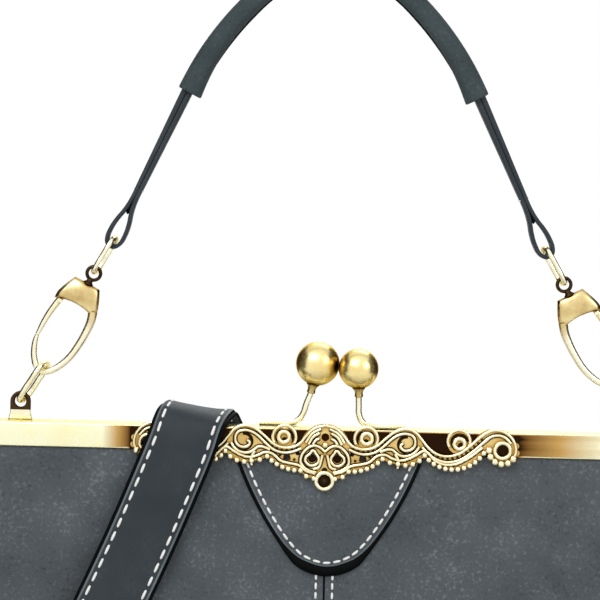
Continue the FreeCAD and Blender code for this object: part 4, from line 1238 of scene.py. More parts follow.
@dataclass
class TopHandle:
    """The handle: padded sleeve and the two folded straps."""

    ring_top: Triple = (-80.8, HANDLE_Y, 254.07)
    lean: float = 25.1
    apex_z: float = 357.86
    crown_radius: float = 40.5
    crown_angle: float = 43.0
    side_radius: float = 121.17
    sleeve_half: Pair = (5.8, 4.2)
    sleeve_sides: int = 24
    squareness: float = 2.8
    seam_inward: float = 3.85
    seam_lip: float = 0.75
    width: float = 8.0
    layer: float = 2.0
    skived: float = 0.72
    skived_to: float = 18.0
    skived_over: float = 42.0
    shade_fill_at: Triple = (0, 13.0, 0)
    shade_fill_half: Triple = (0.95, 2.7, 3.5)
    tack_along: float = 20.5
    tack_out: float = 1.62
    tack_steps: Triple = (-2.4, 0.0, 2.4)

    # Across and along of half a folded strap, from the sleeve down to its loop
    fold: Line = (
        (1.04, 73), (1.04, 61.5), (0.92, 42), (0.80, 24), (0.80, 16), (1.4, 11.4), (2.45, 7.2), (2.95, 3.0),
        (2.6, -0.8), (1.45, -2.6))
    fold_low: Pair = (0, -3.05)
    # Angles from the top, in degrees, of the sleeve's sections on its flank and on its crown
    flank_angles: tuple[float, ...] = (64.9, 60.5, 56, 51.5, 47)
    crown_angles: tuple[float, ...] = (40, 30, 20, 10)

    def strip(self) -> BMesh:
        """Return one strap's folded strip in its own axes, with its skived share as a vertex weight."""
        line = [*self.fold, self.fold_low, *((-across, along) for across, along in reversed(self.fold))]
        curve = bpy.data.curves.new("strip", "CURVE")
        curve.dimensions = "2D"
        curve.fill_mode = "NONE"
        curve.extrude = self.width / 2
        curve.resolution_u = 5
        smooth_run(curve, [(across, along, 0) for across, along in line])
        bm = bmesh.new()
        join_mesh(bm, mesh_of(curve))
        bmesh.ops.remove_doubles(bm, verts=bm.verts[:], dist=1e-4)
        thinned = bm.verts.layers.deform.verify()
        for vert in bm.verts:
            share = clamp((vert.co.y - self.skived_to) / self.skived_over)
            vert[thinned][0] = self.skived + (1 - self.skived) * share
        return bm

    def strap(self, side: Side) -> None:
        """Build one strap: a strip folded round its ring and sewn to itself, with a tack above the loop and a
        black drop of painted shade where its layers part.

        Args:
            side: Side of the purse that it is on.
        """
        along = leaning(self.lean)
        across = Vector((along.z, 0, -along.x))
        turn = Matrix((across, along, TO_BACK)).transposed().to_4x4()
        place = Matrix.Translation(self.ring_top) @ turn
        body, slot = Body.HANDLE.value, "handle_leather"
        bm = self.strip()
        bmesh.ops.transform(bm, matrix=place, verts=bm.verts[:])
        node = side.name.lower() + "_handle_strap"
        strip = piece(node + "_folded", mirrored(bm, side), body, [Finish.STRAP], [node])
        strip.vertex_groups.new(name="skived")
        thickened(strip, self.layer, offset=0.0, rounding=0.45)
        strip.modifiers["thickness"].vertex_group = "skived"
        bm = bmesh.new()
        # Painted shade: a black drop fills the gap where the strap's two layers part above the ring
        drop = place @ Matrix.Translation(self.shade_fill_at) @ Matrix.Diagonal((*self.shade_fill_half, 1))
        bmesh.ops.create_uvsphere(bm, u_segments=16, v_segments=10, radius=1.0, matrix=drop)
        piece(node + "_painted_shade_fill", mirrored(bm, side), body, [Finish.EDGE], smooth=None)
        sewn = []
        for step in self.tack_steps:
            for face in (-1, 1):
                spot = place @ Vector((face * self.tack_out, self.tack_along, step))
                sewn.append((spot, TO_BACK, across * face))
        bm = mirrored(stitches(sewn, dash=1.9, thread=0.7), side)
        piece(node + "_tack", bm, body, [Finish.THREAD], smooth=None)

    def path(self, inward: float) -> list[Vector]:
        """Return the sleeve's line from left to right, moved towards the inside of the bend.

        Args:
            inward: Distance from the sleeve's middle line in millimetres.

        Returns:
            Points of the line.
        """
        crown = Vector((0, HANDLE_Y, self.apex_z - self.crown_radius))
        flank = crown - leaning(-self.crown_angle) * (self.side_radius - self.crown_radius)
        left = [flank + leaning(-angle) * (self.side_radius - inward) for angle in self.flank_angles]
        left += [crown + leaning(-angle) * (self.crown_radius - inward) for angle in self.crown_angles]
        top = crown + Vector((0, 0, self.crown_radius - inward))
        right = [Vector((-p.x, p.y, p.z)) for p in reversed(left)]
        return left + [top] + right

    def sleeve(self) -> None:
        """Build the sleeve: a rolled leather tube with flared ends, sewn on the inside of the bend."""
        line = self.path(0.0)
        middle = len(line) // 2
        bm = bmesh.new()
        rings = []
        for index, center in enumerate(line):
            share = abs(index - middle) / middle
            swell = 0.9 + 0.08 * share + 0.14 * share ** 8
            along = (line[min(index + 1, len(line) - 1)] - line[max(index - 1, 0)]).normalized()
            up = TO_BACK.cross(along)
            up = -up if up.z < 0 else up
            # The flared ends hang a millimetre lower, round the straps
            center = center - up * share ** 8
            ring = bmesh.ops.create_circle(bm, segments=self.sleeve_sides, radius=1.0)["verts"]
            for vert in ring:
                y, z = vert.co.x, vert.co.y
                squared = (abs(y) ** self.squareness + abs(z) ** self.squareness) ** (-1 / self.squareness)
                deep, high = [half * squared * swell for half in self.sleeve_half]
                vert.co = center + TO_BACK * (y * deep) + up * (z * high)
            rings.append(ring)
        bridge_rings(bm, rings)
        for ring in (rings[0], rings[-1]):
            face = bm.faces.new(ring)
            bmesh.ops.inset_individual(bm, faces=[face], thickness=1.5, depth=-2.0)
        bmesh.ops.recalc_face_normals(bm, faces=bm.faces[:])
        tube = piece("handle_sleeve_leather", bm, Body.HANDLE.value, [Finish.HANDLE],
                     ["handle_sleeve", "handle_core"], 60)
        rounding = tube.modifiers.new("rounding", "SUBSURF")
        rounding.levels = rounding.render_levels = 2
        seam = self.path(self.seam_inward)
        lips = [[p + TO_BACK * shift for p in seam] for shift in (-self.seam_lip, self.seam_lip)]
        mesh = smooth_wires(lips, self.seam_lip, steps=4)
        piece("handle_sleeve_seam", mesh, Body.HANDLE.value, [Finish.EDGE],
              smooth=None)

    def build(self) -> None:
        """Build both straps and the sleeve."""
        for side in Side:
            self.strap(side)
        self.sleeve()


@dataclass
class LeatherBody:
    """The leather bag: front, back, gussets, base, welts, tongue and lining."""

    half_depth: float = 45.0
    low_z: float = 30.0
    fold_z: float = 122.0
    top_half: float = 134.0
    low_half: float = 145.0
    side_low_z: float = 40.0
    thickness: float = 1.8
    foot_z: float = 2.4
    top_z: float = 183.0
    panel_half: float = 128.3
    panel_grid: tuple[int, int] = (150, 120)
    narrow_from: float = 116.0
    narrow_over: float = 6.0
    gusset_top: float = 117.9
    gusset_gap: float = 1.9
    gusset_grid: tuple[int, int] = (30, 60)
    front_seed: float = 3.0
    back_seed: float = 21.0
    welt: float = 1.3
    welt_inset: float = 0.4
    welt_heights: tuple[float, ...] = (2.6, 14, 28, 44, 60, 76, 92, 106, 117)
    tongue_flank: Line = ((34.4, 175.4), (23.05, 151.15), (11.52, 134.99))
    tongue_tip: float = 130.5
    tongue_round: float = 6.0
    tongue_shift: float = 1.6
    tongue_grow: float = 1.2
    tongue_thickness: float = 0.85
    seam_x: float = 0.9
    seam_top: float = 130.0
    seam_low: float = 4.0
    seam_row: float = 3.1
    lining_inset: float = 2.15
    lining_low: float = 5.2
    lining_top: float = 116.5
    lining_rows: int = 30
    lining_squareness: int = 14

    def swell(self, z: float, top: float, low: float, low_z: float) -> float:
        """Return the half size of the bag at a height, which grows in an S curve below the fold.

        Args:
            z: Height.
            top: Half size at the fold and above it.
            low: Half size at low_z and below it.
            low_z: Height where the curve ends.

        Returns:
            Half the depth or width in millimetres.
        """
        if z >= self.fold_z:
            return top
        if z <= low_z:
            return low
        drop = self.fold_z - low_z
        turn = 2 * math.atan((low - top) / drop)
        radius = drop / (2 * math.sin(turn))
        reach = self.fold_z - z
        bend = radius * math.sin(turn)
        if reach <= bend:
            return top + radius - math.sqrt(radius * radius - reach * reach)
        rise = z - low_z
        return low - radius + math.sqrt(radius * radius - rise * rise)

    def depth(self, z: float) -> float:
        """Return the bag's half depth at a height."""
        return self.swell(z, LEATHER_Y, self.half_depth, self.low_z)

    def half(self, z: float) -> float:
        """Return the bag's half width at a height."""
        return self.swell(z, self.top_half, self.low_half, self.side_low_z)

    def slope(self, z: float) -> float:
        """Return how much the half depth grows in a millimetre of height."""
        return self.depth(z + 0.5) - self.depth(z - 0.5)

    def crease(self, x: float, z: float, seed: float) -> float:
        """Return how far the soft leather stands proud at a point.

        Args:
            x: Distance from the middle.
            z: Height.
            seed: Number that sets the pattern of the creases.

        Returns:
            Height of the creases in millimetres, 0 at the bar, the edges and the foot.
        """
        below = clamp((BAR_LOW - z) / 14.0)
        pull = clamp((z - 60.0) / 60.0)
        folds = noise.noise(Vector((x / 17.0, z / 60.0, seed))) * 0.55 * pull
        folds += noise.noise(Vector((x / 42.0, z / 48.0, seed + 7))) * 0.9
        edge = clamp((self.half(z) - abs(x)) / 10.0)
        return folds * below * edge * min(1.0, z / 20.0)

    def panel(self, sign: int) -> BMesh:
        """Build one large leather side as a sheet; the front has its centre seam pressed in.

        Args:
            sign: -1 for the front, 1 for the back.

        Returns:
            Bmesh of the sheet's outer face.
        """
        bm = bmesh.new()
        columns, rows = self.panel_grid
        bmesh.ops.create_grid(bm, x_segments=columns, y_segments=rows, size=0.5)
        lengths = [0.0]
        heights = [self.foot_z + (self.top_z - self.foot_z) * i / 400 for i in range(401)]
        for low, high in zip(heights, heights[1:]):
            lengths.append(lengths[-1] + math.hypot(high - low, self.depth(high) - self.depth(low)))
        for vert in bm.verts:
            want = (vert.co.y + 0.5) * lengths[-1]
            index = min(max(bisect_left(lengths, want), 1), len(lengths) - 1)
            part = (want - lengths[index - 1]) / (lengths[index] - lengths[index - 1])
            z = heights[index - 1] + (heights[index] - heights[index - 1]) * part
            ease = clamp((z - self.narrow_from) / self.narrow_over)
            x = vert.co.x * 2 * (self.half(z) * (1 - ease) + self.panel_half * ease)
            out = Vector((0, 1, -self.slope(z))).normalized()
            lift = self.crease(x, z, self.front_seed if sign < 0 else self.back_seed)
            # The leather rises a little on each side of the pressed seam
            if sign < 0 and z < self.seam_top + 3:
                lift += 0.35 * math.exp(-((abs(x - self.seam_x) - 2.2) / 1.5) ** 2)
            spot = Vector((x, self.depth(z), z)) + out * lift
            vert.co = Vector((spot.x, sign * spot.y, spot.z))
        middle = Vector((0, sign * LEATHER_Y, 150))
        turn_out(bm, lambda face: (face.calc_center_median() - middle).length, TO_BACK * sign)
        return bm

    def gusset(self, side: Side) -> None:
        """Build one side wall, drawn in a little along its middle.

        Args:
            side: Side of the purse that it closes.
        """
        bm = bmesh.new()
        columns, rows = self.gusset_grid
        bmesh.ops.create_grid(bm, x_segments=columns, y_segments=rows, size=0.5)
        for vert in bm.verts:
            z = self.foot_z + (vert.co.y + 0.5) * (self.gusset_top - self.foot_z)
            across = vert.co.x * 2
            y = across * (self.depth(z) - self.gusset_gap)
            dent = 1.1 * (1 - across * across) ** 2 * math.sin(math.pi * min(1.0, z / 118.0))
            dent += 0.5 * noise.noise(Vector((y / 14.0, z / 26.0, 40.0 + side.value)))
            fade = (1 - across ** 4) * min(1.0, z / 12.0)
            vert.co = Vector((side.value * (self.half(z) - dent * fade), y, z))
        turn_out(bm, lambda face: face.calc_center_median().z, Vector((side.value, 0, 0)))
        node = side.name.lower() + "_gusset"
        wall = piece(node + "_leather", bm, Body.BAG.value, [Finish.BODY], [node], None)
        thickened(wall, self.thickness)

    def welts(self) -> None:
        """Build the piping along the four upright seams and round the base."""
        runs = []
        for x_sign in (-1, 1):
            for y_sign in (-1, 1):
                runs.append([(x_sign * (self.half(z) - self.welt_inset),
                              y_sign * (self.depth(z) - self.welt_inset), z) for z in self.welt_heights])
        bm = bmesh.new()
        join_mesh(bm, smooth_wires(runs, self.welt, steps=6))
        x, y = self.low_half - self.welt_inset, self.half_depth - self.welt_inset
        corner = [(x - 6, -y), (x - 2, -y), (x - 0.6, 0.6 - y), (x, 2 - y), (x, 6 - y)]
        right = corner + [(a, -b) for a, b in reversed(corner)]
        ring = [(a, b, 2.2) for a, b in right + [(-a, -b) for a, b in right]]
        join_mesh(bm, smooth_wires([ring], self.welt, closed=True, steps=6))
        piece("leather_welts", bm, Body.BAG.value, [Finish.EDGE], smooth=None)

    def tongue_line(self, side: float, tip: float) -> list[Vector]:
        """Return a line along the tongue's edge from its top right round its tip to its top left.

        Args:
            side: Distance inside the edge along the sides in millimetres.
            tip: Distance inside the edge at the tip.

        Returns:
            Points of the line.
        """
        flank = arc_through(*self.tongue_flank, 12)
        x, z = self.tongue_flank[-1]
        edge = flank + arc_through((x, z), (0.0, self.tongue_tip), (-x, z), 14)[1:]
        edge += [(-x, z) for x, z in reversed(flank[:-1])]
        line = []
        for index, (x, z) in enumerate(edge):
            before = edge[max(index - 1, 0)]
            after = edge[min(index + 1, len(edge) - 1)]
            along = Vector((after[0] - before[0], 0, after[1] - before[1])).normalized()
            near_tip = math.exp(-((z - self.tongue_tip) / self.tongue_round) ** 2)
            inset = side - self.tongue_grow + (tip - side) * near_tip
            spot = Vector((x + self.tongue_shift, 0, z)) + Vector((along.z, 0, -along.x)) * inset
            # Both ends stay tucked under the bar
            if index in (0, len(edge) - 1):
                spot.z = max(spot.z, z)
            line.append(spot)
        return line

    def tongue_wire(self, name: str, side: float, tip: float, radius: float, lift: float,
                    finish: Finish) -> None:
        """Lay a flattened cord along the tongue's edge.

        Args:
            name: Name of the piece.
            side: Distance of its middle inside the edge along the sides.
            tip: The same at the tip, where a painted edge is as wide as this leaves room for.
            radius: Half width along the sides.
            lift: Height of its middle above the leather.
            finish: Finish of the cord.
        """
        y = -LEATHER_Y - lift
        line = [p + TO_BACK * y for p in self.tongue_line(side, tip)]
        # At the tip the black edge widens: edge paint, and also the painted shadow of the flap's tip on the
        # bag
        growth = tip / side - 1 if finish is Finish.EDGE else 0.0
        heights = [p.z - self.tongue_tip - tip for p in line]
        swell = [1 + growth * math.exp(-(height / self.tongue_round) ** 2) for height in heights]
        bm = bmesh.new()
        join_mesh(bm, smooth_wires([line], radius, swell=swell, steps=2), pressed_flat(y, 0.6))
        piece(name, bm, Body.FRONT.value, [finish], smooth=None)

    def tongue(self) -> None:
        """Build the tongue as a raised flap with a dark turned edge, which at the tip is also painted shadow,
        a painted highlight along its fold and a row of white stitches.
        """
        front = -LEATHER_Y
        bm = bmesh.new()
        face = bm.faces.new([bm.verts.new(p + TO_BACK * front) for p in self.tongue_line(side=0.0, tip=0.0)])
        made = bmesh.ops.extrude_face_region(bm, geom=[face])
        moved = [item for item in made["geom"] if isinstance(item, BMVert)]
        bmesh.ops.translate(bm, vec=(0, -self.tongue_thickness, 0), verts=moved)
        bmesh.ops.recalc_face_normals(bm, faces=bm.faces[:])
        rim = [edge for edge in bm.edges if all(vert.co.y < front - 0.8 for vert in edge.verts)]
        bmesh.ops.bevel(bm, geom=rim, offset=0.5, offset_type="OFFSET", segments=3, profile=0.5,
                        affect="EDGES", material=-1)
        piece("tongue_flap", bm, Body.FRONT.value, [Finish.BODY], ["tongue"])
        self.tongue_wire("tongue_edge", side=0.7, tip=1.8, radius=0.75, lift=0.65, finish=Finish.EDGE)
        # The pale cord along the fold is a painted highlight
        self.tongue_wire("tongue_fold_painted_highlight", side=1.6, tip=4.0, radius=0.3, lift=0.85, finish=Finish.RIM)
        line = [p + TO_BACK * (front - 0.95) for p in self.tongue_line(side=3.4, tip=5.1)]
        sewn = [(p, d, -TO_BACK) for p, d in along_line(line, pitch=3.85, start=1.5)]
        piece("tongue_stitches", stitches(sewn, dash=2.9, thread=1.0), Body.FRONT.value, [Finish.THREAD],
              smooth=None)

    def seam_line(self, x: float, lift: float) -> list[Vector]:
        """Return a line down the front from the tongue's tip to the base.

        Args:
            x: Distance from the middle.
            lift: Height above the leather.

        Returns:
            Points of the line.
        """
        line = []
        for step in range(121):
            z = self.seam_top - step * (self.seam_top - self.seam_low) / 120
            out = Vector((0, -1, -self.slope(z))).normalized()
            proud = self.crease(x, z, self.front_seed) + lift
            line.append(Vector((x, -self.depth(z), z)) + out * proud)
        return line

    def centre_seam(self) -> None:
        """Press the centre seam and sew the row on each side of it."""
        sewn = []
        for away in (-self.seam_row, self.seam_row):
            for spot, along in along_line(self.seam_line(self.seam_x + away, lift=0.35), pitch=3.6, start=1.0):
                out = along.cross(Vector((1, 0, 0)))
                sewn.append((spot, along, out if out.y < 0 else -out))
        row = piece("seam_stitches", stitches(sewn, dash=2.6, thread=1.0), "", [Finish.THREAD],
                    smooth=None)
        wire = smooth_wires([self.seam_line(self.seam_x, lift=-0.1)[::4]], radius=0.5, steps=4)
        groove = piece("seam_groove", wire, "", [Finish.EDGE], smooth=None)
        for obj in (row, groove):
            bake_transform(obj)

    def lining_ring(self, bm: BMesh, z: float) -> list[BMVert]:
        """Add one closed ring of the lining at a height, with soft upright folds.

        Args:
            bm: Bmesh of the lining.
            z: Height of the ring.

        Returns:
            Its vertices in order.
        """
        wide, deep = self.half(z) - self.lining_inset, self.depth(z) - self.lining_inset
        power = self.lining_squareness
        ring = bmesh.ops.create_circle(bm, segments=160, radius=1.0)["verts"]
        for vert in ring:
            squared = (abs(vert.co.x) ** power + abs(vert.co.y) ** power) ** (-1 / power)
            across, along = vert.co.x * squared, vert.co.y * squared
            slack = 0.6 + noise.noise(Vector((across * wide / 13, along * deep / 13, z / 70)))
            slack = max(0.0, slack) * min(1.0, (z - self.lining_low) / 20, (self.lining_top - z) / 8)
            vert.co = Vector((across * (wide - slack), along * max(deep - slack, deep * 0.6), z))
        return ring

    def lining(self) -> None:
        """Build the cloth lining as a sewn bag that hangs inside the leather, with a turned hem."""
        bm = bmesh.new()
        rise = self.lining_top - self.lining_low
        heights = [self.lining_low + rise * i / self.lining_rows for i in range(self.lining_rows + 1)]
        rings = [self.lining_ring(bm, z) for z in heights]
        bridge_rings(bm, rings)
        bm.faces.new(rings[0])
        hem = [vert.co.copy() for vert in rings[-1]][::4]
        turn_out(bm, lambda face: face.calc_center_median().z, Vector((0, 0, -1)))
        area = sum(face.calc_area() for face in bm.faces) * MM * MM
        cloth = piece("lining_cloth", bm, Body.BAG.value, [Finish.LINING], ["lining"], 60)
        thickened(cloth, thickness=0.8)
        edge = piece("lining_hem", smooth_wires([hem], radius=0.7, closed=True, steps=3), Body.BAG.value,
                     [Finish.LINING], smooth=None)

    def build(self) -> None:
        """Build the whole leather body and dress what lies inside it."""
        front = piece("front_leather", self.panel(-1), "", [Finish.BODY],
                      ["front_panel_upper", "front_fold", "front_panel_lower"], None)
        thickened(front, self.thickness)
        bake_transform(front)
        back = piece("back_leather", self.panel(1), Body.BAG.value, [Finish.BODY], ["back_panel"],
                     None)
        thickened(back, self.thickness)
        for side in Side:
            self.gusset(side)
        base = rounded_copy("base_panel", width=0.8)
        piece("base_leather", base, Body.BAG.value, [Finish.BODY], ["base_panel"])
        self.welts()
        self.tongue()
        self.centre_seam()
        self.lining()
        dress(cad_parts["base_board"], Finish.BOARD)


@dataclass
class ShoulderStrap:
    """The flat shoulder strap, sewn to both gussets and thrown over the closed frame."""

    width: float = 25.0
    thickness: float = 3.2
    row: float = 2.7
    pitch: float = 5.6
    first_stitch: float = 2.5
    box: Pair = (3.5, 24.0)
    sewn_below: float = 61.0
    over_above: float = 178.5
    over_front: float = -8.0
    over_back: float = 9.6

    # Points along the strap's middle and the way its good side faces there
    route: tuple[tuple[Triple, Triple], ...] = (
        ((-145.6, 0, 60), (-1, 0, 0)), ((-143.5, 0, 75), (-1, 0, 0)), ((-141.6, 0, 88), (-1, 0, 0)),
        ((-142.6, 0, 102), (-0.97, 0, -0.25)), ((-146.6, -2, 116), (-0.75, -0.1, -0.65)),
        ((-154, -7, 124), (-0.15, 0, -0.98)), ((-163, -15, 122), (0.45, 0.1, -0.85)),
        ((-169.5, -26, 110), (0.8, 0, -0.5)), ((-173, -38, 93), (0.97, 0.1, -0.1)),
        ((-172, -51, 75), (0.9, 0.4, -0.1)), ((-168.5, -65, 57), (0.65, 0.75, -0.25)),
        ((-161.5, -79, 40), (0.35, 0.9, -0.2)), ((-153, -89, 26), (0.1, 1, 0)),
        ((-147, -88, 14), (0, 0.87, 0.5)), ((-142, -81, 7), (0, 0.5, 0.87)), ((-136.5, -71, 4), (0, 0, 1)),
        ((-131, -61, 7), (0, -0.5, 0.87)), ((-126, -53, 14), (0, -0.87, 0.5)), ((-121, -50, 26), (0, -1, 0)),
        ((-113.6, -49.2, 42), (0, -1, 0.15)), ((-106.8, -44, 57), (0, -0.9, 0.44)),
        ((-101.4, -36.2, 69), (0, -0.77, 0.64)), ((-96.2, -27, 80), (0, -0.77, 0.64)),
        ((-88.4, -15.5, 97), (0, -0.91, 0.41)), ((-77.4, -9.6, 121), (0, -1, 0)),
        ((-66.9, -9.4, 145), (0, -1, 0)), ((-58.9, -10.6, 165), (0, -1, 0)),
        ((-53.4, -11.2, 179), (0, -1, 0.05)), ((-51, -9.4, 187), (0.06, -0.8, 0.6)),
        ((-49.5, -5, 189.6), (0.16, -0.4, 0.92)),
        ((-48.3, 0, 190.4), (0.2, 0, 1)), ((-47.2, 5, 189.6), (0.16, 0.4, 0.92)),
        ((-45.8, 9, 186.8), (0.06, 0.8, 0.6)), ((-43, 10.4, 178), (0, 1, 0.05)), ((-37, 9.8, 165), (0, 1, 0)),
        ((-27, 9.4, 145), (0, 1, 0)), ((-13.5, 9.6, 121), (0, 1, 0)), ((0, 15.5, 97), (0, 0.91, 0.41)),
        ((10, 27, 80), (0, 0.77, 0.64)), ((16.5, 36.2, 69), (0, 0.77, 0.64)),
        ((23.5, 44, 57), (0, 0.9, 0.44)), ((33, 49.2, 42), (0, 1, 0.15)), ((43, 50, 26), (0, 1, 0)),
        ((49, 53, 14), (0, 0.87, 0.5)), ((54.5, 61, 7), (0, 0.5, 0.87)), ((60.5, 71, 4), (0, 0, 1)),
        ((67, 81, 7), (0, -0.5, 0.87)), ((74, 88, 14), (0, -0.87, 0.5)), ((84.5, 91, 26), (-0.1, -1, 0)),
        ((99.5, 89, 42), (-0.2, -0.97, 0.1)), ((115.5, 83, 58), (-0.35, -0.9, 0.1)),
        ((131, 74, 74), (-0.5, -0.8, 0)),
        ((146.5, 62, 89), (-0.7, -0.65, -0.2)), ((158.5, 47, 103), (-0.8, -0.4, -0.4)),
        ((165, 31, 114), (-0.7, -0.2, -0.65)), ((162, 16, 122), (-0.4, -0.1, -0.9)),
        ((154, 7, 124), (0.15, 0, -0.98)), ((146.6, 2, 116), (0.75, 0.1, -0.65)),
        ((142.6, 0, 102), (0.97, 0, -0.25)), ((141.6, 0, 88), (1, 0, 0)), ((143.5, 0, 75), (1, 0, 0)),
        ((145.6, 0, 60), (1, 0, 0)))

    def spline(self, points: Sequence[Vector]) -> list[Vector]:
        """Return the points of a smooth line.

        Args:
            points: Its control points.

        Returns:
            Points read from the line's NURBS spline.
        """
        curve = bpy.data.curves.new("route", "CURVE")
        curve.dimensions = "3D"
        curve.resolution_u = 6
        spline = curve.splines.new("NURBS")
        spline.points.add(len(points) - 1)
        for control, place in zip(spline.points, points):
            control.co = (*place, 1.0)
        spline.order_u = 3
        spline.use_endpoint_u = True
        mesh = mesh_of(curve)
        line = [vert.co.copy() for vert in mesh.vertices]
        bpy.data.meshes.remove(mesh)
        return line

    def sections(self) -> list[Section]:
        """Return middle, across and outward direction at each point of the smooth route."""
        middles = [Vector(point) for point, _ in self.route]
        edges = []
        for index, (point, facing) in enumerate(self.route):
            along = middles[min(index + 1, len(middles) - 1)] - middles[max(index - 1, 0)]
            edges.append(Vector(point) + Vector(facing).cross(along).normalized() * self.width)
        line = self.spline(middles)
        side = self.spline(edges)
        found = []
        for index, middle in enumerate(line):
            along = (line[min(index + 1, len(line) - 1)] - line[max(index - 1, 0)]).normalized()
            across = side[index] - middle
            across = (across - along * across.dot(along)).normalized()
            found.append((middle, across, along.cross(across)))
        return found

    def ribbon(self, cuts: Sequence[Section]) -> BMesh:
        """Build the two-layer strap; its black edges, which also stand for the strap's painted shadow, and the
        painted highlight on the upper layer's rim have their own finishes.

        Args:
            cuts: Sections of the strap in order.

        Returns:
            Bmesh of the closed ribbon.
        """
        half, thick = self.width / 2, self.thickness / 2
        # The upper layer is cut narrower than the lower one, so a step shows along each edge
        upper, lower = half - 0.5, half + 0.8
        edge = [(upper - 0.75, thick), (upper, thick - 0.5), (upper, 0.3), (upper - 0.2, 0.1),
                (lower - 0.4, -0.1), (lower, -0.5), (lower, 0.45 - thick), (lower - 0.6, -thick)]
        crown = [(-half / 2, thick + 0.05), (0.0, thick + 0.1), (half / 2, thick + 0.05)]
        outline = crown + edge + [(-a, o) for a, o in reversed(edge)]
        bm = bmesh.new()
        before = []
        for middle, across, out in cuts:
            ring = [bm.verts.new(middle + across * a + out * o) for a, o in outline]
            edges = [bm.edges.new(pair) for pair in zip(ring, ring[1:] + ring[:1])]
            if before:
                for face in bmesh.ops.bridge_loops(bm, edges=before + edges)["faces"]:
                    away = abs((face.calc_center_median() - middle).dot(across))
                    # The upper layer's rim takes the painted highlight; the step and the sides take black edge
                    # paint that is also painted shadow
                    face.material_index = 2 if upper - 0.7 < away < upper - 0.1 else int(away > upper - 0.2)
            else:
                bm.faces.new(ring)
            before = edges
        bm.faces.new(ring)
        bmesh.ops.recalc_face_normals(bm, faces=bm.faces[:])
        return bm

    def cross_rows(self, cuts: Sequence[Section]) -> list[Section]:
        """Return the stitches of the two rows across a strap end that close the box by which it is sewn on.

        Args:
            cuts: Sections of the strap from its sewn end.

        Returns:
            Middle, running direction and outward direction of each stitch.
        """
        places = []
        gone = 0.0
        due = list(self.box)
        reach = self.width / 2 - self.row - self.pitch / 2
        for (here, across, out), (there, _, _) in zip(cuts, cuts[1:]):
            gone += (there - here).length
            if due and gone >= due[0]:
                due.pop(0)
                for step in (-1.0, -1 / 3, 1 / 3, 1.0):
                    places.append((here + across * (step * reach) + out * (self.thickness / 2), across, out))
        return places

    def sewing(self, cuts: Sequence[Section]) -> BMesh:
        """Sew a row along each edge on both faces of a stretch of strap.

        Args:
            cuts: Sections of the stretch in order.

        Returns:
            Bmesh of all its stitches.
        """
        sewn = []
        if cuts[0][0].z < self.sewn_below:
            sewn += self.cross_rows(cuts)
        if cuts[-1][0].z < self.sewn_below:
            sewn += self.cross_rows(cuts[::-1])
        lift = self.thickness / 2 - 0.1
        for sign in (-1, 1):
            for face in (-1, 1):
                line = [m + a * sign * (self.width / 2 - self.row) + o * face * lift for m, a, o in cuts]
                for spot, along in along_line(line, self.pitch, self.first_stitch):
                    nearest = min(range(len(line)), key=lambda i: (line[i] - spot).length)
                    sewn.append((spot, along, cuts[nearest][2] * face))
        return stitches(sewn, dash=4.1, thread=1.2)

    def build(self) -> None:
        """Build the strap's front run, the stretch over the frame and the back run, with their stitches."""
        cuts = self.sections()
        over_start = next(i for i, (m, _, _) in enumerate(cuts)
                          if m.z > self.over_above and m.y < self.over_front)
        over_end = next(i for i, (m, _, _) in enumerate(cuts) if i > over_start and m.y > self.over_back)
        stretches = {
            "front": cuts[:over_start + 1],
            "over": cuts[over_start:over_end + 1],
            "back": cuts[over_end:],
        }
        for name, stretch in stretches.items():
            body = Body.BAG.value if name == "back" else ""
            strap = piece(f"shoulder_strap_{name}", self.ribbon(stretch), body,
                          [Finish.STRAP, Finish.EDGE, Finish.RIM], ["shoulder_strap"], 50)
            thread = piece(f"shoulder_strap_{name}_stitches", self.sewing(stretch), body, [Finish.THREAD],
                           smooth=None)
            for obj in (strap, thread):
                if name == "front":
                    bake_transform(obj)
                if name == "over":
                    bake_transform(obj)


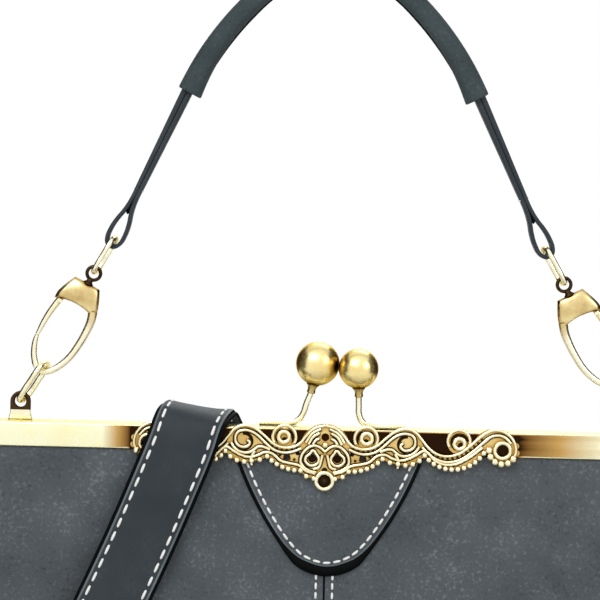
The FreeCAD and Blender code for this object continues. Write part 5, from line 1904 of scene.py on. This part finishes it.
@dataclass
class Studio:
    """Camera, floor, lights and white surround."""

    target: Triple = (-10.7, -5.2, 233.2)
    field: float = 223.8
    distance: float = 900.0
    elevation: float = 4.0
    roll: float = 1.38
    sensor: float = 36.0
    aim: Triple = (0, 0, 0.2)
    floor_size: Pair = (6.0, 6.0)
    floor_fade: Pair = (0.22, 0.48)
    world_level: float = 0.45
    card_size: Pair = (0.5, 0.9)

    # Name, place in metres and turn in degrees of each dark card
    cards: tuple[tuple[str, Triple, float], ...] = (
        ("left_card", (-0.42, 0.34, 0.3), 62), ("right_card", (0.42, 0.34, 0.3), -62),
        ("left_wing", (-0.6, -0.02, 0.3), 90), ("right_wing", (0.6, -0.02, 0.3), -90))
    # Name, place in metres, size and power of each lamp
    lamps: tuple[tuple[str, Triple, Pair, float], ...] = (
        ("key", (-0.45, -0.85, 1.0), (0.8, 0.6), 7.5), ("fill", (0.9, -0.8, 0.7), (0.6, 0.6), 3.2),
        ("back", (0.2, 0.9, 1.0), (0.8, 0.5), 5.0))

    def camera(self) -> None:
        """Place the camera at the photograph's viewing angle."""
        data = bpy.data.cameras.new("camera")
        data.sensor_width = self.sensor
        data.sensor_fit = "HORIZONTAL"
        data.lens = self.sensor * self.distance / self.field
        data.clip_end = 20.0
        obj = in_scene("camera", data)
        tilt = math.radians(self.elevation)
        back = Vector((0, -math.cos(tilt), math.sin(tilt)))
        up = Vector((0, math.sin(tilt), math.cos(tilt)))
        turn = Matrix((Vector((1, 0, 0)), up, back)).transposed().to_4x4()
        place = Vector(self.target) * MM + back * self.distance * MM
        obj.matrix_world = Matrix.Translation(place) @ turn @ Matrix.Rotation(math.radians(self.roll), 4, "Z")
        bpy.context.scene.camera = obj

    def lamp(self, name: str, place: Triple, size: Pair, power: float) -> None:
        """Hang one soft rectangular lamp that points at the purse.

        Args:
            name: Name of the lamp.
            place: Where it hangs, in metres.
            size: Width and height in metres.
            power: Power in watts.
        """
        data = bpy.data.lights.new(name, "AREA")
        data.shape = "RECTANGLE"
        data.size, data.size_y = size
        data.energy = power
        obj = in_scene(name, data)
        obj.location = place
        obj.rotation_euler = (Vector(self.aim) - Vector(place)).to_track_quat("-Z", "Y").to_euler()

    def seen_rays(self, tree: NodeTree) -> NodeSocket:
        """Add the nodes that tell rays which show the surround from rays that light the purse.

        Args:
            tree: Node tree of the world or floor.

        Returns:
            Output that is 1 for camera, glossy and transmission rays.
        """
        path = add_node(tree, "ShaderNodeLightPath")
        seen = path.outputs["Is Camera Ray"]
        for ray in ("Is Glossy Ray", "Is Transmission Ray"):
            both = add_node(tree, "ShaderNodeMath", {0: seen, 1: path.outputs[ray]}, operation="MAXIMUM")
            seen = both.outputs[0]
        return seen

    def surround(self) -> None:
        """Make the white world and the pale floor, which fades to white away from the purse."""
        white = (1.0, 1.0, 1.0, 1.0)
        world = bpy.data.worlds.new("studio")
        world.use_nodes = True
        bpy.context.scene.world = world
        tree = world.node_tree
        level = add_node(tree, "ShaderNodeMapRange", {
            "Value": self.seen_rays(tree), "To Min": self.world_level, "To Max": 1.0})
        back = tree.nodes["Background"]
        back.inputs["Color"].default_value = white
        tree.links.new(level.outputs[0], back.inputs["Strength"])
        floor = self.sheet("floor", Matrix.Identity(4), self.floor_size)
        # Matt paper: near white, and it keeps the purse's soft shadow
        material, tree, shader, place = start_material("pale_paper_floor")
        shader.inputs["Base Color"].default_value = linear("#f2f2f0")
        shader.inputs["Roughness"].default_value = 0.8
        away = add_node(tree, "ShaderNodeVectorMath", {0: place}, operation="LENGTH")
        near, far = self.floor_fade
        fade = add_node(tree, "ShaderNodeMapRange", {
            "Value": away.outputs["Value"], "From Min": near, "From Max": far,
            "To Max": self.seen_rays(tree)}, interpolation_type="SMOOTHSTEP")
        glow = add_node(tree, "ShaderNodeEmission", {"Color": white, "Strength": 1.0})
        mixed = add_node(tree, "ShaderNodeMixShader", {
            0: fade.outputs[0], 1: shader.outputs[0], 2: glow.outputs[0]})
        tree.links.new(mixed.outputs[0], tree.nodes["Material Output"].inputs["Surface"])
        floor.data.materials.append(material)

    def sheet(self, name: str, place: Matrix, size: Pair) -> Object:
        """Stand one flat sheet of the studio.

        Args:
            name: Name of the sheet.
            place: Where it stands, in metres.
            size: Width and height in metres.

        Returns:
            The sheet.
        """
        bm = bmesh.new()
        bmesh.ops.create_grid(bm, x_segments=1, y_segments=1, size=0.5)
        bmesh.ops.scale(bm, vec=(*size, 1), verts=bm.verts[:])
        mesh = baked(bm, name)
        mesh.transform(place)
        obj = in_scene(name, mesh)
        return obj

    def dark_cards(self) -> None:
        """Stand dark cards beside and behind the purse; only metal reflects them, so its edges read dark."""
        # Dull card: a dark brown without any gleam
        material, _, shader, _ = start_material("dark_studio_card")
        shader.inputs["Base Color"].default_value = linear("#2b1d10")
        shader.inputs["Roughness"].default_value = 1.0
        shader.inputs["Specular IOR Level"].default_value = 0.0
        upright = Matrix.Rotation(math.pi / 2, 4, "X")
        for name, spot, turn in self.cards:
            place = Matrix.Translation(spot) @ Matrix.Rotation(math.radians(turn), 4, "Z") @ upright
            card = self.sheet(name, place, self.card_size)
            card.data.materials.append(material)
            card.visible_camera = False
            card.visible_diffuse = False
            card.visible_shadow = False

    def build(self) -> None:
        """Set up the whole studio."""
        bpy.context.scene.view_settings.view_transform = "Standard"
        self.camera()
        self.surround()
        self.dark_cards()
        for name, place, size, power in self.lamps:
            self.lamp(name, place, size, power)


def main() -> None:
    """Build the purse in order."""
    Studio().build()
    ShoulderStrap().build()
    LeatherBody().build()
    BrassFrame().build()
    Ornament().build()
    KissLock().build()
    for side in Side:
        ClipChain(side).build()
    TopHandle().build()


if __name__ == "__main__":
    main()
